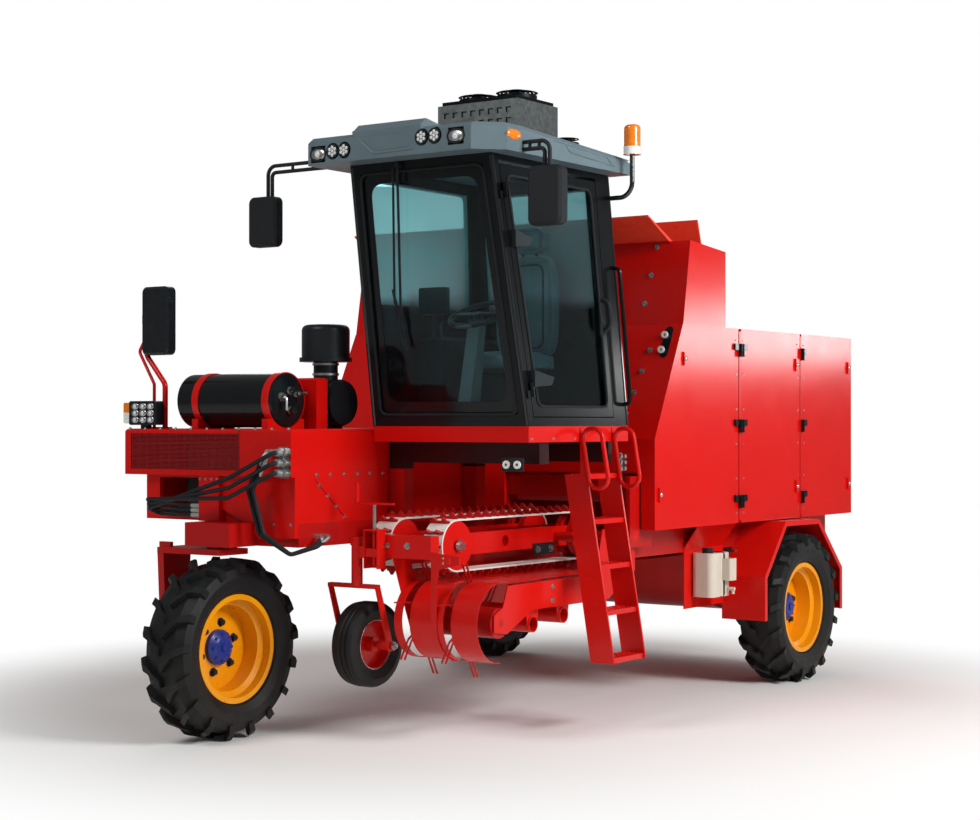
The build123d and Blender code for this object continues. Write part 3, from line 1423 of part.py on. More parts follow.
def feeder_frame():
    """Pivot shaft, far side plate, near channel, cross tubes, front beam and belt arms of the pickup."""
    right, left, t = FEEDER_RIGHT, FEEDER_LEFT, FEEDER_PLATE
    low, high = CHANNEL_Z
    top = PIVOT_Z + 60
    rear = PIVOT_Y + 60
    frame = rod_x(BEAM_B_OUT + 2, left + t + BRACKET_GAP + 30, PIVOT_Y, PIVOT_Z, PIVOT_R)
    beam_y0, beam_y1 = FRONT_BAR_Y
    far_plate = (
        (rear, top),
        (rear, FEED_FLOOR_Z - 10),
        (CROSS_TUBES[1][0] + 40, CROSS_TUBES[1][1] - 70),
        (CROSS_TUBES[0][0] + 60, CROSS_TUBES[0][1] - 50),
        (DRUM_Y - 60, DRUM_Z - 80),
        (DRUM_Y - 110, DRUM_Z + 40),
        (beam_y0, FRONT_BAR_Z[0]),
        (beam_y0, FRONT_BAR_Z[1]),
        (beam_y1 + 20, FRONT_BAR_Z[1]),
        (DRUM_Y - 20, FEED_FLOOR_Z),
        (CROSS_TUBES[0][0], FEED_FLOOR_Z),
        (CROSS_TUBES[1][0], top),
    )
    frame += side_prism(far_plate, right, right + t)
    frame += block(left, left + t, CHANNEL_FRONT, LINK_Y, low, high)
    for z in (low, high - t):
        frame += block(left - CHANNEL_FLANGE, left + t, CHANNEL_FRONT + DRUM_R, LINK_Y, z, z + t)
    near_rear = (
        (LINK_Y - 150, low),
        (LINK_Y, low),
        (rear, FEED_FLOOR_Z - 10),
        (rear, top),
        (LINK_Y - 70, top),
        (LINK_Y - 150, high),
    )
    near_front = (
        (CHANNEL_FRONT + 260, low),
        (DRUM_Y + 60, DRUM_Z - 70),
        (DRUM_Y - 70, DRUM_Z - 50),
        (DRUM_Y - 70, DRUM_Z + 50),
        (DRUM_Y + 20, DRUM_Z + 90),
        (CHANNEL_FRONT, high),
        (CHANNEL_FRONT + 260, high),
    )
    for outline in (near_rear, near_front):
        frame += side_prism(outline, left, left + t)
    bores = [
        rod_x(x - 1, x + t + 1, DRUM_Y, DRUM_Z, DRUM_SHAFT_R + RUNNING_FIT) for x in (right, left)
    ]
    frame -= bores
    hang = left - CHANNEL_FLANGE
    for y, z in CROSS_TUBES:
        hanger = ((y - 70, low + 5), (y + 70, low + 5), (y + 52, z - 30), (y - 52, z - 30))
        frame += side_prism(hanger, hang, hang + t)
        frame += rod_x(right + t / 2, hang + 2 * t, y, z, CROSS_TUBE_R)
    for y, z in CROSS_TUBES:
        frame -= rod_x(hang - 200, hang + 3 * t, y, z, CROSS_TUBE_R - 7)
    frame += block(*FRONT_BAR_X, *FRONT_BAR_Y, *FRONT_BAR_Z)
    half = BELT_W / 2 + 15
    for x in BELT_X:
        arm = Pos(x, (PULLEY_Y + PIVOT_Y) / 2, PIVOT_Z) * Box(ARM_W, PIVOT_Y - PULLEY_Y + 2 * ARM_END, ARM_H)
        hole_y = (PULLEY_Y + LINK_Y) / 2
        arm -= rod_x(x - ARM_W, x + ARM_W, hole_y, PIVOT_Z, ARM_H * 0.26)
        frame += arm + rod_x(x - half, x + half, PULLEY_Y, PIVOT_Z, PULLEY_SHAFT_R)
    return frame + rod_x(BELT_X[0], left + t, LINK_Y, PIVOT_Z, PIVOT_R)


def gauge_mount():
    """Guide wheel fork with its axle, stem, screw jack and crank."""
    y = GAUGE_STEM_Y
    half = GAUGE_FORK_W / 2
    t = GAUGE_LEG_T
    bar = GAUGE_BAR_Z
    mount = block(GAUGE_X - half, GAUGE_X + half, y - 20, y + 20, bar - 12, bar + 13)
    leg = (
        (y - 20, bar),
        (y + 20, bar),
        (GAUGE_Y + 26, GAUGE_Z - 32),
        (GAUGE_Y - 26, GAUGE_Z - 32),
    )
    for x in (GAUGE_X - half, GAUGE_X + half - t):
        mount += side_prism(leg, x, x + t)
    mount += rod_x(GAUGE_X - half, GAUGE_X + half + 16, GAUGE_Y, GAUGE_Z, GAUGE_AXLE_R)
    reach = GAUGE_W / 2 + 5
    for x0, x1 in ((GAUGE_X - half, GAUGE_X - reach), (GAUGE_X + reach, GAUGE_X + half)):
        mount += rod_x(x0, x1, GAUGE_Y, GAUGE_Z, GAUGE_AXLE_R + 12)
    low, high = JACK_Z
    x0, x1 = JACK_X
    stem_x = GAUGE_X + 25
    mount += rod_z(stem_x, y, bar, high - 50, 34)
    mount += block(stem_x, x0 + 4, y - 16, y + 16, low + 60, low + 130)
    jack = block(x0, x1, y - 38, FRONT_BAR_Y[0], low, high)
    jack -= block(x0 + 8, x1 - 8, y - 39, FRONT_BAR_Y[0] - 8, low - 1, high - 10)
    mount += jack
    screw_x = (x0 + x1) / 2
    mount += rod_z(screw_x, y, low + 20, CRANK_Z, 12)
    mount += block(x0 + 4, x1 - 4, y - 30, FRONT_BAR_Y[0] - 4, low + 70, low + 120)
    mount += block(screw_x - CRANK_W / 2, screw_x + CRANK_W / 2, y - 9, y + 9, CRANK_Z - 6, CRANK_Z + 7)
    return mount + rod_z(screw_x - CRANK_W / 2 + 14, y, CRANK_Z, CRANK_Z + 122, 13)


def pickup_drum():
    """Drum with rings of paired tines, each bent back at its tip."""
    x0 = FEEDER_RIGHT + FEEDER_PLATE + 6
    x1 = FEEDER_LEFT - 6
    drum = rod_x(x0, x1, 0, 0, DRUM_R)
    drum += rod_x(FEEDER_RIGHT, FEEDER_LEFT + FEEDER_PLATE, 0, 0, DRUM_SHAFT_R)
    t = TINE_T / 2
    knee = (DRUM_R + TINE_R) / 2
    outline = (
        (-t, DRUM_R - 20),
        (t, DRUM_R - 20),
        (t, knee),
        (TINE_HOOK + t, TINE_R - 6),
        (TINE_HOOK - t, TINE_R - 6),
        (-t, knee + 8),
    )
    tines = []
    for x in TINE_X:
        for pair in (-1, 1):
            tine = side_prism(outline, x + pair * TINE_SPREAD - t, x + pair * TINE_SPREAD + t)
            for i in range(TINE_COUNT):
                tines.append(Rot(360 / TINE_COUNT * i, 0, 0) * tine)
    return Pos(0, DRUM_Y, DRUM_Z) * (drum + tines)


def stripper_bands():
    """Sheet hoops round the drum's front between the tines, the deck behind and a strap to the front beam."""
    edges = [FEEDER_RIGHT + FEEDER_PLATE]
    for x in TINE_X:
        edges += [x - BAND_GAP / 2, x + BAND_GAP / 2]
    edges.append(FEEDER_LEFT)
    deck0, deck1 = DRUM_Y + 380, PIVOT_Y - 60
    deck_z = DRUM_Z + BAND_R - BAND_T
    sheet = block(edges[0], FEEDER_LEFT, deck0, deck1, deck_z, deck_z + BAND_T)
    outer = rod_x(0, FEEDER_LEFT + 100, DRUM_Y, DRUM_Z, BAND_R)
    rear_half = block(-1, FEEDER_LEFT + 101, DRUM_Y, DRUM_Y + 400, DRUM_Z - 400, DRUM_Z + 400)
    wrap = outer - rod_x(-1, FEEDER_LEFT + 101, DRUM_Y, DRUM_Z, BAND_R - BAND_T) - rear_half
    bands = wrap + block(0, FEEDER_LEFT, DRUM_Y, deck0 + 5, deck_z, deck_z + BAND_T)
    for i in range(0, len(edges), 2):
        slot = block(edges[i], edges[i + 1], DRUM_Y - 400, deck0 + 10, DRUM_Z - 400, DRUM_Z + 400)
        sheet += bands & slot
    x0, x1 = FRONT_BAR_X[1], FRONT_BAR_X[1] + STRAP_PLATE_W
    face = DRUM_Y - BAND_R - STRAP_PLATE_T
    strap = rod_x(x0, x1, DRUM_Y, DRUM_Z, BAND_R + STRAP_PLATE_T)
    strap -= rod_x(x0 - 1, x1 + 1, DRUM_Y, DRUM_Z, BAND_R - 1)
    strap -= block(x0 - 1, x1 + 1, DRUM_Y - 400, DRUM_Y + 400, DRUM_Z, DRUM_Z + 400) + rear_half
    low, high = FRONT_BAR_Z
    ear = (
        (x0, DRUM_Z - 5),
        (x1, DRUM_Z - 5),
        (x1, low - 150),
        (x1 + 20, low - 55),
        (x1 + EAR_REACH, low - 20),
        (x1 + EAR_REACH, low + 25),
        (x0, low + 45),
    )
    ear = front_prism(ear, face, face + STRAP_PLATE_T)
    for x in (x1 + 45, x1 + 95):
        ear -= block(x - 8, x + 8, face - 1, face + STRAP_PLATE_T + 1, low - 22, low + 16)
    return sheet + strap + ear


def feed_belt(x):
    """Belt round its two pulleys as one loop, with a cleat bar and two pointed teeth at each step."""
    length = PIVOT_Y - PULLEY_Y
    mid_y = (PIVOT_Y + PULLEY_Y) / 2
    r = PULLEY_R + SEAT_GAP
    half = BELT_W / 2
    outer = SlotCenterToCenter(length, 2 * (r + BELT_T))
    inner = SlotCenterToCenter(length, 2 * r)
    loop = Pos(x - half, mid_y, PIVOT_Z) * extrude(Plane.YZ * (outer - inner), amount=BELT_W)
    root = r + BELT_T - 2
    bar = root + CLEAT_H
    tip = r + BELT_T + BELT_TOOTH
    outline = [(-half, root), (half, root), (half, bar)]
    flank = CLEAT_BASE / 2
    for middle in (half / 2, -half / 2):
        outline += [(middle + flank, bar), (middle + CLEAT_TIP, tip)]
        outline += [(middle - CLEAT_TIP, tip), (middle - flank, bar)]
    outline.append((-half, bar))
    cleat = front_prism(outline, -CLEAT_T / 2, CLEAT_T / 2)
    count = int(length / BELT_PITCH)
    teeth = []
    for i in range(count + 1):
        y = PULLEY_Y + length * i / count
        teeth.append(Pos(x, y, PIVOT_Z) * cleat)
        teeth.append(Pos(x, y, PIVOT_Z) * Rot(180, 0, 0) * cleat)
    for i in range(1, BELT_TURNS):
        teeth.append(Pos(x, PULLEY_Y, PIVOT_Z) * Rot(180 * i / BELT_TURNS, 0, 0) * cleat)
        teeth.append(Pos(x, PIVOT_Y, PIVOT_Z) * Rot(-180 * i / BELT_TURNS, 0, 0) * cleat)
    return loop + teeth


def belt_pulley(x, y, bore):
    """Belt pulley with a slot for the arm that carries its shaft."""
    pulley = rod_x(x - BELT_W / 2, x + BELT_W / 2, y, PIVOT_Z, PULLEY_R)
    pulley -= rod_x(x - 200, x + 200, y, PIVOT_Z, bore + RUNNING_FIT)
    slot = ARM_W / 2 + 2
    return pulley - block(x - slot, x + slot, y - 200, y + 200, PIVOT_Z - 200, PIVOT_Z + 200)


def place(part, x, y, z):
    """Piece modelled at the origin, moved to its place."""
    return Pos(x, y, z) * part


def all_parts():
    """Every piece by its node name."""
    rim = drive_rim()
    tyre = drive_tyre()
    turned = Rot(0, 0, 180)
    parts = {
        "main_frame": main_frame(),
        "axle_left": axle_leg(),
        "axle_right": mirrored(axle_leg()),
        "front_fork": front_fork(),
        "front_tyre": place(tyre, FRONT_WHEEL_X, FRONT_WHEEL_Y, WHEEL_Z),
        "front_rim": place(rim, FRONT_WHEEL_X, FRONT_WHEEL_Y, WHEEL_Z),
        "rear_tyre_left": place(tyre, WHEEL_X, 0, WHEEL_Z),
        "rear_rim_left": place(rim, WHEEL_X, 0, WHEEL_Z),
        "rear_tyre_right": place(turned * tyre, -WHEEL_X, 0, WHEEL_Z),
        "rear_rim_right": place(turned * rim, -WHEEL_X, 0, WHEEL_Z),
        "engine_block": engine_block(),
        "engine_housing": engine_housing(),
        "radiator_grille": radiator_grille(),
        "air_tank": air_tank(),
        "tank_cradle": tank_cradle(),
        "air_cleaner": air_cleaner(),
        "front_lamp": front_lamp(),
        "front_mirror": front_mirror(),
        "hydraulic_hoses": hydraulic_hoses(),
        "cab_platform": cab_platform(),
        "cab_frame": cab_frame(),
        "cab_roof": cab_roof(),
        "windscreen": pane(window_front(0)),
        "right_window": pane(window_right(0)),
        "rear_window": pane(window_rear(0)),
        "cab_door": cab_door(),
        "door_glass": pane(door_window(0)),
        "roof_unit": roof_unit(),
        "roof_lamps": roof_lamps(),
        "seat": seat(),
        "cab_controls": cab_controls(),
        "console": console(),
        "wiper": wiper(),
        "beacon": beacon(),
        "ladder": ladder(),
        "box_shell": box_shell(),
        "tower": tower(),
        "tailgate": tailgate(),
        "bale_chamber": bale_chamber(),
        "fenders": Compound([fender(), mirrored(fender())]),
        "skirts": Compound([skirt(), mirrored(skirt())]),
        "wash_tank": wash_tank(),
        "feeder_frame": feeder_frame(),
        "gauge_mount": gauge_mount(),
        "gauge_tyre": place(gauge_tyre(), GAUGE_X, GAUGE_Y, GAUGE_Z),
        "gauge_rim": place(gauge_rim(), GAUGE_X, GAUGE_Y, GAUGE_Z),
        "pickup_drum": pickup_drum(),
        "stripper_bands": stripper_bands(),
        "feed_belts": Compound([feed_belt(x) for x in BELT_X]),
        "belt_pulleys": Compound([belt_pulley(x, y, bore) for x in BELT_X for y, bore in PULLEY_ENDS]),
    }
    for name, x, low, high, y in CAB_MIRRORS:
        x_roof = ROOF_X[1] + SEAT_GAP if x > CAB_MID else ROOF_X[0] - SEAT_GAP
        parts[name] = cab_mirror(x_roof, x, low, high, y)
    for name, front, rear, hinge, edge in DOORS:
        door = box_door(front, rear, hinge, edge)
        parts[f"{name}_door_left"] = door
        parts[f"{name}_door_right"] = mirrored(door)
    return parts


def main():
    """Write one file per piece, with the origin at the bottom centre of the machine's box."""
    os.makedirs("parts", exist_ok=True)
    shift = Pos(-ORIGIN_X, -ORIGIN_Y, 0)
    for name, part in all_parts().items():
        export_step(shift * part, f"parts/{name}.step")


main()
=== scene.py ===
import math

import bmesh
import bpy
from mathutils import Matrix, Vector


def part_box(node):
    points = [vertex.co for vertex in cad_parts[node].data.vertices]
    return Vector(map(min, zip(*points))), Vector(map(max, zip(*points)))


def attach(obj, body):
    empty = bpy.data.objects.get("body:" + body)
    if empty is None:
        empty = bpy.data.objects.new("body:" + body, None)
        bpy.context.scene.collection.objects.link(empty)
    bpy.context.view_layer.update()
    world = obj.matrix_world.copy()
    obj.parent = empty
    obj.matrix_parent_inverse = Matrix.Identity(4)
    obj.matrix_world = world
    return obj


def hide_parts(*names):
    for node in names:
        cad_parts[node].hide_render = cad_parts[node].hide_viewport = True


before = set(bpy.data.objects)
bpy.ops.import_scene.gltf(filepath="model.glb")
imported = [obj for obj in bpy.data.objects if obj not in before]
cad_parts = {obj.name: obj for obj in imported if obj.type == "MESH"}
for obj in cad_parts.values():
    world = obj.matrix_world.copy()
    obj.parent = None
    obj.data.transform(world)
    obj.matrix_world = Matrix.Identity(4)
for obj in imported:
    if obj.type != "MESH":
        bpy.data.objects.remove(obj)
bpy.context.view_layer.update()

# Units and the machine's own datum: X to its left, Y to the rear from the rear axle, Z up
MM = 0.001
DATUM = Vector((-0.113, 1.872, 0.0))
LEFT, RIGHT = (1, 0, 0), (-1, 0, 0)
FRONT, REAR = (0, -1, 0), (0, 1, 0)
UP = (0, 0, 1)

# Camera of the photograph: place, turn to the left, rise and lens
CAMERA_PLACE = (7.437, -10.808, 1.885)
CAMERA_TURN = 35.0
CAMERA_RISE = 0.39
CAMERA_LENS = 69.8
CAMERA_SENSOR = 36.0

# Cab: corners at its floor, how far they move by the top, and how deep the glass sits in its frame
CAB_FLOOR, CAB_TOP = 1865, 3440
CAB_RIGHT, CAB_LEFT = 214, 1370
CAB_FRONT, CAB_REAR = -3460, -2332
CAB_TAPER = 60
LEAN_FRONT, LEAN_REAR = 300, 144
GLASS_SET = 17

# Windows: heights, and how far in from the cab's corners they start, front then rear
DOOR_PANE = (1983, 3325, 130, 228)
RIGHT_PANE = (1985, 3370, 70, 112)
# Windows in the ends: heights and width at the foot, then how far the sides draw in by the top
WINDSCREEN = (1935, 3380, 284, 1300, 57)
REAR_PANE = (2365, 3360, 364, 1220, 0)
# Rubber seal round a pane, and the printed border's widths, inner and outer corners and thickness
SEAL_R, SEAL_BEND = 9, 55
FRIT_SIDE, FRIT_LOW, FRIT_TOP = 62, 78, 60
FRIT_ROUND, FRIT_CORNER, FRIT_T = 90, 1, 1.5

# Wheels: x and y of each hub, their height and the radius of the blue hub
WHEELS = {"front_wheel": (-300, -4270), "rear_wheel_left": (1340, 0), "rear_wheel_right": (-1340, 0)}
WHEEL_Z = 540
HUB_R = 107

# Feeder: front pulley, the pivot at the rear pulley, and the outside of the belt's fabric round them
PULLEY_Y, PIVOT_Y, PIVOT_Z = -3500, -2080, 1152
BELT_R = 158

# Lamps: x, z of the round and the oval ones on the roof, the plane they sit on, and the front lamp
ROUND_LAMPS = ((276, 3508), (364, 3508), (941, 3536), (1034, 3538))
OVAL_LAMPS = ((163, 3498), (1185, 3523))
ROOF_LAMP_Y = -3936
FRONT_LAMP = (-1026, -4213, 1947)

# Colours, sRGB: a darker and a lighter tone of each finish
RED = ("C80B07", "D4120C")
DEEP_RED = ("A80A09", "BA100D")
MESH_RED = ("8A1214", "9C181A")
# Painted light: an orange-red lighter than the red paint, for the lit inside of the hopper's lip
PAINTED_LIGHT_LIP_RED = ("E23A26", "F0523A")
PAINTED_SHADE_RED = ("240C0C", "301010")
GOLD = ("E89200", "F2A006")
HUB_BLUE = ("1A2C78", "243A92")
RUBBER = ("0E1012", "181A1C")
GLOSS_BLACK = ("0E1012", "16191B")
SOFT_BLACK = ("15171A", "202428")
# Painted shade: near-black red laid on the chassis under the cab, where shade falls
SEAM_RED = ("4A0808", "5E0C0B")
ROOF_GREY = ("5C6C73", "6B7C83")
ZINC = ("5E6464", "8A9090")
STEEL = ("A4A6A4", "C8CAC8")
IRON = ("3C3E40", "545658")
# Glass tones with a painted reflection: a dark tone low down, then the darker and the lighter bright tone
# above
GLASS_TINT_AND_REFLECTION = ("B4CCD0", "CCE6E8", "DCF0F2")
DOOR_TINT_AND_REFLECTION = ("90A8AC", "A6C0C4", "B4CCD0")
# Painted reflection: the film's bright teal upper tones stand in for bright reflections, and its dark low
# tone for the dark below them
FILM_TINT_AND_REFLECTION = ("2A4448", "A4E6EA", "D0F8FA")
# Heights in metres of the painted reflection's horizon, between which a glass turns from its low tone to the
# upper ones
REFLECTION_HORIZON_Z = (2.58, 2.68)
GLASS_IOR = 1.2
# Other finishes, a darker and a lighter tone again
SEAT_GREY = ("566C72", "768E94")
PIPING = ("1C2224", "262E30")
LENS = ("C8CCCC", "F0F4F4")
AMBER = ("E06A08", "F48A1C")
MILKY = ("C4B8A8", "DAD2C4")
BELT_CREAM = ("D6D2C8", "EAE8E2")
PALE = ("DCDCD6", "EEEEEA")
GREY = ("22272A", "2E3436")
COLUMN_GREY = ("565E60", "687072")
# Single colours
DUST = "8A7A66"
FLOOR_PALE = "F4F4F2"
WHITE = "FFFFFF"
# Dust: size of its patches in millimetres, and the height in metres below which it is thickest
DUST_PATCH, DUST_FOOT = 140, 0.1

# Sockets of the colour mixing node
FACTOR, FIRST, SECOND, MIXED = 0, 6, 7, 2


def at(x, y, z):
    """A place on the machine in millimetres, as a frame point in metres."""
    return Vector((x * MM, y * MM, z * MM)) + DATUM


def linear(colour):
    """sRGB hex colour as linear RGBA."""
    channels = [int(colour[i:i + 2], 16) / 255 for i in (0, 2, 4)]
    return tuple(c / 12.92 if c <= 0.04045 else ((c + 0.055) / 1.055) ** 2.4 for c in channels) + (1.0,)


def per(size):
    """Texture scale that gives a pattern of this size in millimetres."""
    return 1.0 / (size * MM)


def add(tree, kind, inputs=None, **settings):
    """A node with its settings, its inputs set to values or linked to other nodes' outputs."""
    node = tree.nodes.new(kind)
    for name, value in settings.items():
        setattr(node, name, value)
    for key, value in (inputs or {}).items():
        if isinstance(value, bpy.types.NodeSocket):
            tree.links.new(value, node.inputs[key])
        else:
            node.inputs[key].default_value = value
    return node


def surface(name, **constants):
    """A material with one principled shader, its constant sockets set, and its object coordinates."""
    material = bpy.data.materials.new(name)
    material.use_nodes = True
    tree = material.node_tree
    tree.nodes.clear()
    shader = add(tree, "ShaderNodeBsdfPrincipled", {k.replace("_", " "): v for k, v in constants.items()})
    add(tree, "ShaderNodeOutputMaterial", {"Surface": shader.outputs[0]})
    place = add(tree, "ShaderNodeTexCoord").outputs["Object"]
    return material, tree, shader, place


# Materials

def mottle(tree, place, tones, size):
    """Two tones of one colour drifting into each other over a size in millimetres."""
    drift = add(tree, "ShaderNodeTexNoise", {"Vector": place, "Scale": per(size), "Detail": 3.0})
    blend = {FACTOR: drift.outputs[0], FIRST: linear(tones[0]), SECOND: linear(tones[1])}
    return add(tree, "ShaderNodeMix", blend, data_type="RGBA").outputs[MIXED]


def dusty(tree, place, colour, amount, top=1.3):
    """A film of dust that thins out up to a height in metres, over a colour."""
    height = add(tree, "ShaderNodeSeparateXYZ", {0: place}).outputs["Z"]
    low = add(tree, "ShaderNodeMapRange", {"Value": height, "From Min": top, "From Max": DUST_FOOT})
    patches = add(tree, "ShaderNodeTexNoise", {"Vector": place, "Scale": per(DUST_PATCH), "Detail": 6.0})
    both = {0: low.outputs[0], 1: patches.outputs[0]}
    film = add(tree, "ShaderNodeMath", both, operation="MULTIPLY").outputs[0]
    share = add(tree, "ShaderNodeMath", {0: film, 1: amount}, operation="MULTIPLY").outputs[0]
    blend = {FACTOR: share, FIRST: colour, SECOND: linear(DUST)}
    return add(tree, "ShaderNodeMix", blend, data_type="RGBA").outputs[MIXED]


def uneven(tree, shader, place, size, rough, wave, wave_size):
    """Gloss that varies over a size, on a surface that waves by a depth, all in millimetres."""
    patches = add(tree, "ShaderNodeTexNoise", {"Vector": place, "Scale": per(size), "Detail": 4.0})
    spread = {"Value": patches.outputs[0], "To Min": rough[0], "To Max": rough[1]}
    gloss = add(tree, "ShaderNodeMapRange", spread)
    tree.links.new(gloss.outputs[0], shader.inputs["Roughness"])
    swell = add(tree, "ShaderNodeTexNoise", {"Vector": place, "Scale": per(wave_size), "Detail": 2.0})
    relief = {"Height": swell.outputs[0], "Distance": wave * MM, "Strength": 1.0}
    bump = add(tree, "ShaderNodeBump", relief)
    tree.links.new(bump.outputs[0], shader.inputs["Normal"])


def within(tree, place, low, high):
    """1 between two corners in machine millimetres, 0 outside; None leaves that side open."""
    coordinates = add(tree, "ShaderNodeSeparateXYZ", {0: place}).outputs
    inside = None
    for limits, operation in ((low, "GREATER_THAN"), (high, "LESS_THAN")):
        for axis, limit in enumerate(limits):
            if limit is None:
                continue
            edge = limit * MM + DATUM[axis]
            test = add(tree, "ShaderNodeMath", {0: coordinates[axis], 1: edge}, operation=operation)
            if inside:
                test = add(tree, "ShaderNodeMath", {0: inside, 1: test.outputs[0]}, operation="MULTIPLY")
            inside = test.outputs[0]
    return inside


def coloured(tree, shader, place, colour, patches):
    """Colour on a shader, with other finishes inside boxes of low, high, tones and how metallic."""
    metal = None
    for low, high, tones, metallic in patches:
        inside = within(tree, place, low, high)
        other = mottle(tree, place, tones, size=40)
        blend = {FACTOR: inside, FIRST: colour, SECOND: other}
        colour = add(tree, "ShaderNodeMix", blend, data_type="RGBA").outputs[MIXED]
        if metallic:
            shine = add(tree, "ShaderNodeMath", {0: inside, 1: metallic}, operation="MULTIPLY").outputs[0]
            if metal:
                shine = add(tree, "ShaderNodeMath", {0: metal, 1: shine}, operation="MAXIMUM").outputs[0]
            metal = shine
    tree.links.new(colour, shader.inputs["Base Color"])
    if metal:
        tree.links.new(metal, shader.inputs["Metallic"])


def enamel(name, tones, rough=(0.2, 0.3), dust=0.06, patches=(), shine=0.22):
    """Stoved gloss paint on sheet steel: deep even colour, gloss that waves with the sheet, dust low down."""
    lacquer = {"Coat_Weight": 0.08, "Coat_Roughness": 0.12}
    material, tree, shader, place = surface(name, Specular_IOR_Level=shine, **lacquer)
    colour = dusty(tree, place, mottle(tree, place, tones, size=700), dust)
    coloured(tree, shader, place, colour, patches)
    uneven(tree, shader, place, size=180, rough=rough, wave=0.5, wave_size=300)
    return material


def from_axle(tree, place, hub):
    """Distance from an axle that runs across the machine through a point."""
    centred = add(tree, "ShaderNodeVectorMath", {0: place, 1: hub}, operation="SUBTRACT").outputs[0]
    square = {0: centred, 1: (0.0, 1.0, 1.0)}
    across = add(tree, "ShaderNodeVectorMath", square, operation="MULTIPLY").outputs[0]
    return add(tree, "ShaderNodeVectorMath", {0: across}, operation="LENGTH").outputs["Value"]


def wheel_enamel(name, hub):
    """Gold wheel paint with the blue of the hub inside its radius round the axle."""
    lacquer = {"Coat_Weight": 0.1, "Coat_Roughness": 0.1}
    material, tree, shader, place = surface(name, Specular_IOR_Level=0.3, **lacquer)
    radius = from_axle(tree, place, hub)
    inside = add(tree, "ShaderNodeMath", {0: radius, 1: HUB_R * MM}, operation="LESS_THAN").outputs[0]
    gold = mottle(tree, place, GOLD, size=300)
    blue = mottle(tree, place, HUB_BLUE, size=120)
    blend = {FACTOR: inside, FIRST: gold, SECOND: blue}
    paint = add(tree, "ShaderNodeMix", blend, data_type="RGBA").outputs[MIXED]
    tree.links.new(dusty(tree, place, paint, amount=0.04), shader.inputs["Base Color"])
    uneven(tree, shader, place, size=90, rough=(0.22, 0.36), wave=0.2, wave_size=60)
    return material


def belt_fabric(name):
    """Cream woven belt with red cleats and teeth, which stand outside the loop round the two pulleys."""
    material, tree, shader, place = surface(name, Specular_IOR_Level=0.3)
    along, up = add(tree, "ShaderNodeSeparateXYZ", {0: place}).outputs[1:]
    ends = {"Value": along, "Min": PULLEY_Y * MM + DATUM.y, "Max": PIVOT_Y * MM + DATUM.y}
    nearest = add(tree, "ShaderNodeClamp", ends).outputs[0]
    off = add(tree, "ShaderNodeMath", {0: along, 1: nearest}, operation="SUBTRACT").outputs[0]
    rise = add(tree, "ShaderNodeMath", {0: up, 1: PIVOT_Z * MM}, operation="SUBTRACT").outputs[0]
    away = add(tree, "ShaderNodeCombineXYZ", {0: off, 1: rise}).outputs[0]
    reach = add(tree, "ShaderNodeVectorMath", {0: away}, operation="LENGTH").outputs["Value"]
    cleat = add(tree, "ShaderNodeMath", {0: reach, 1: BELT_R * MM}, operation="GREATER_THAN").outputs[0]
    cream = mottle(tree, place, BELT_CREAM, size=90)
    red = mottle(tree, place, DEEP_RED, size=60)
    blend = {FACTOR: cleat, FIRST: cream, SECOND: red}
    colour = add(tree, "ShaderNodeMix", blend, data_type="RGBA").outputs[MIXED]
    tree.links.new(colour, shader.inputs["Base Color"])
    uneven(tree, shader, place, size=30, rough=(0.5, 0.7), wave=0.3, wave_size=5)
    return material


def rubber(name, tones=RUBBER, dust=0.08, patches=()):
    """Moulded black rubber: dull, faintly mottled, with dust caught in its grain."""
    material, tree, shader, place = surface(name, Specular_IOR_Level=0.22)
    colour = dusty(tree, place, mottle(tree, place, tones, size=60), dust, top=1.1)
    coloured(tree, shader, place, colour, patches)
    uneven(tree, shader, place, size=40, rough=(0.42, 0.62), wave=0.5, wave_size=9)
    return material


def moulded(name, tones, rough=(0.4, 0.6), grain=6, patches=()):
    """Moulded plastic: a fine leathery grain drawn coarser than life so that it shows."""
    material, tree, shader, place = surface(name, Specular_IOR_Level=0.25)
    coloured(tree, shader, place, mottle(tree, place, tones, size=250), patches)
    uneven(tree, shader, place, size=120, rough=rough, wave=0.2, wave_size=grain)
    return material


def bare_metal(name, tones, rough, grain, patches=()):
    """Bright metal with a patchy sheen, as zinc plate or turned steel has."""
    material, tree, shader, place = surface(name, Metallic=1.0)
    coloured(tree, shader, place, mottle(tree, place, tones, grain), patches)
    uneven(tree, shader, place, size=grain, rough=rough, wave=0.1, wave_size=grain)
    return material


def tinted_glass_with_painted_reflection(name, tones, clear=1.0):
    """Safety glass with a blue-green tint, and a painted reflection that leaves it deeper low down and
    brighter above; less clear glass shows more of its sun film.
    """
    material, tree, shader, place = surface(name, Transmission_Weight=clear, IOR=GLASS_IOR)
    # Painted reflection: the colour turns from the dark low tone to the bright upper tones across a set
    # height
    height = add(tree, "ShaderNodeSeparateXYZ", {0: place}).outputs["Z"]
    climb = {"Value": height, "From Min": REFLECTION_HORIZON_Z[0], "From Max": REFLECTION_HORIZON_Z[1]}
    rise = add(tree, "ShaderNodeMapRange", climb, interpolation_type="SMOOTHSTEP").outputs[0]
    blend = {FACTOR: rise, FIRST: linear(tones[0]), SECOND: mottle(tree, place, tones[1:], size=500)}
    colour = add(tree, "ShaderNodeMix", blend, data_type="RGBA").outputs[MIXED]
    tree.links.new(colour, shader.inputs["Base Color"])
    film = add(tree, "ShaderNodeTexNoise", {"Vector": place, "Scale": per(300)}).outputs[0]
    gloss = add(tree, "ShaderNodeMapRange", {"Value": film, "To Min": 0.0, "To Max": 0.03})
    tree.links.new(gloss.outputs[0], shader.inputs["Roughness"])
    return material


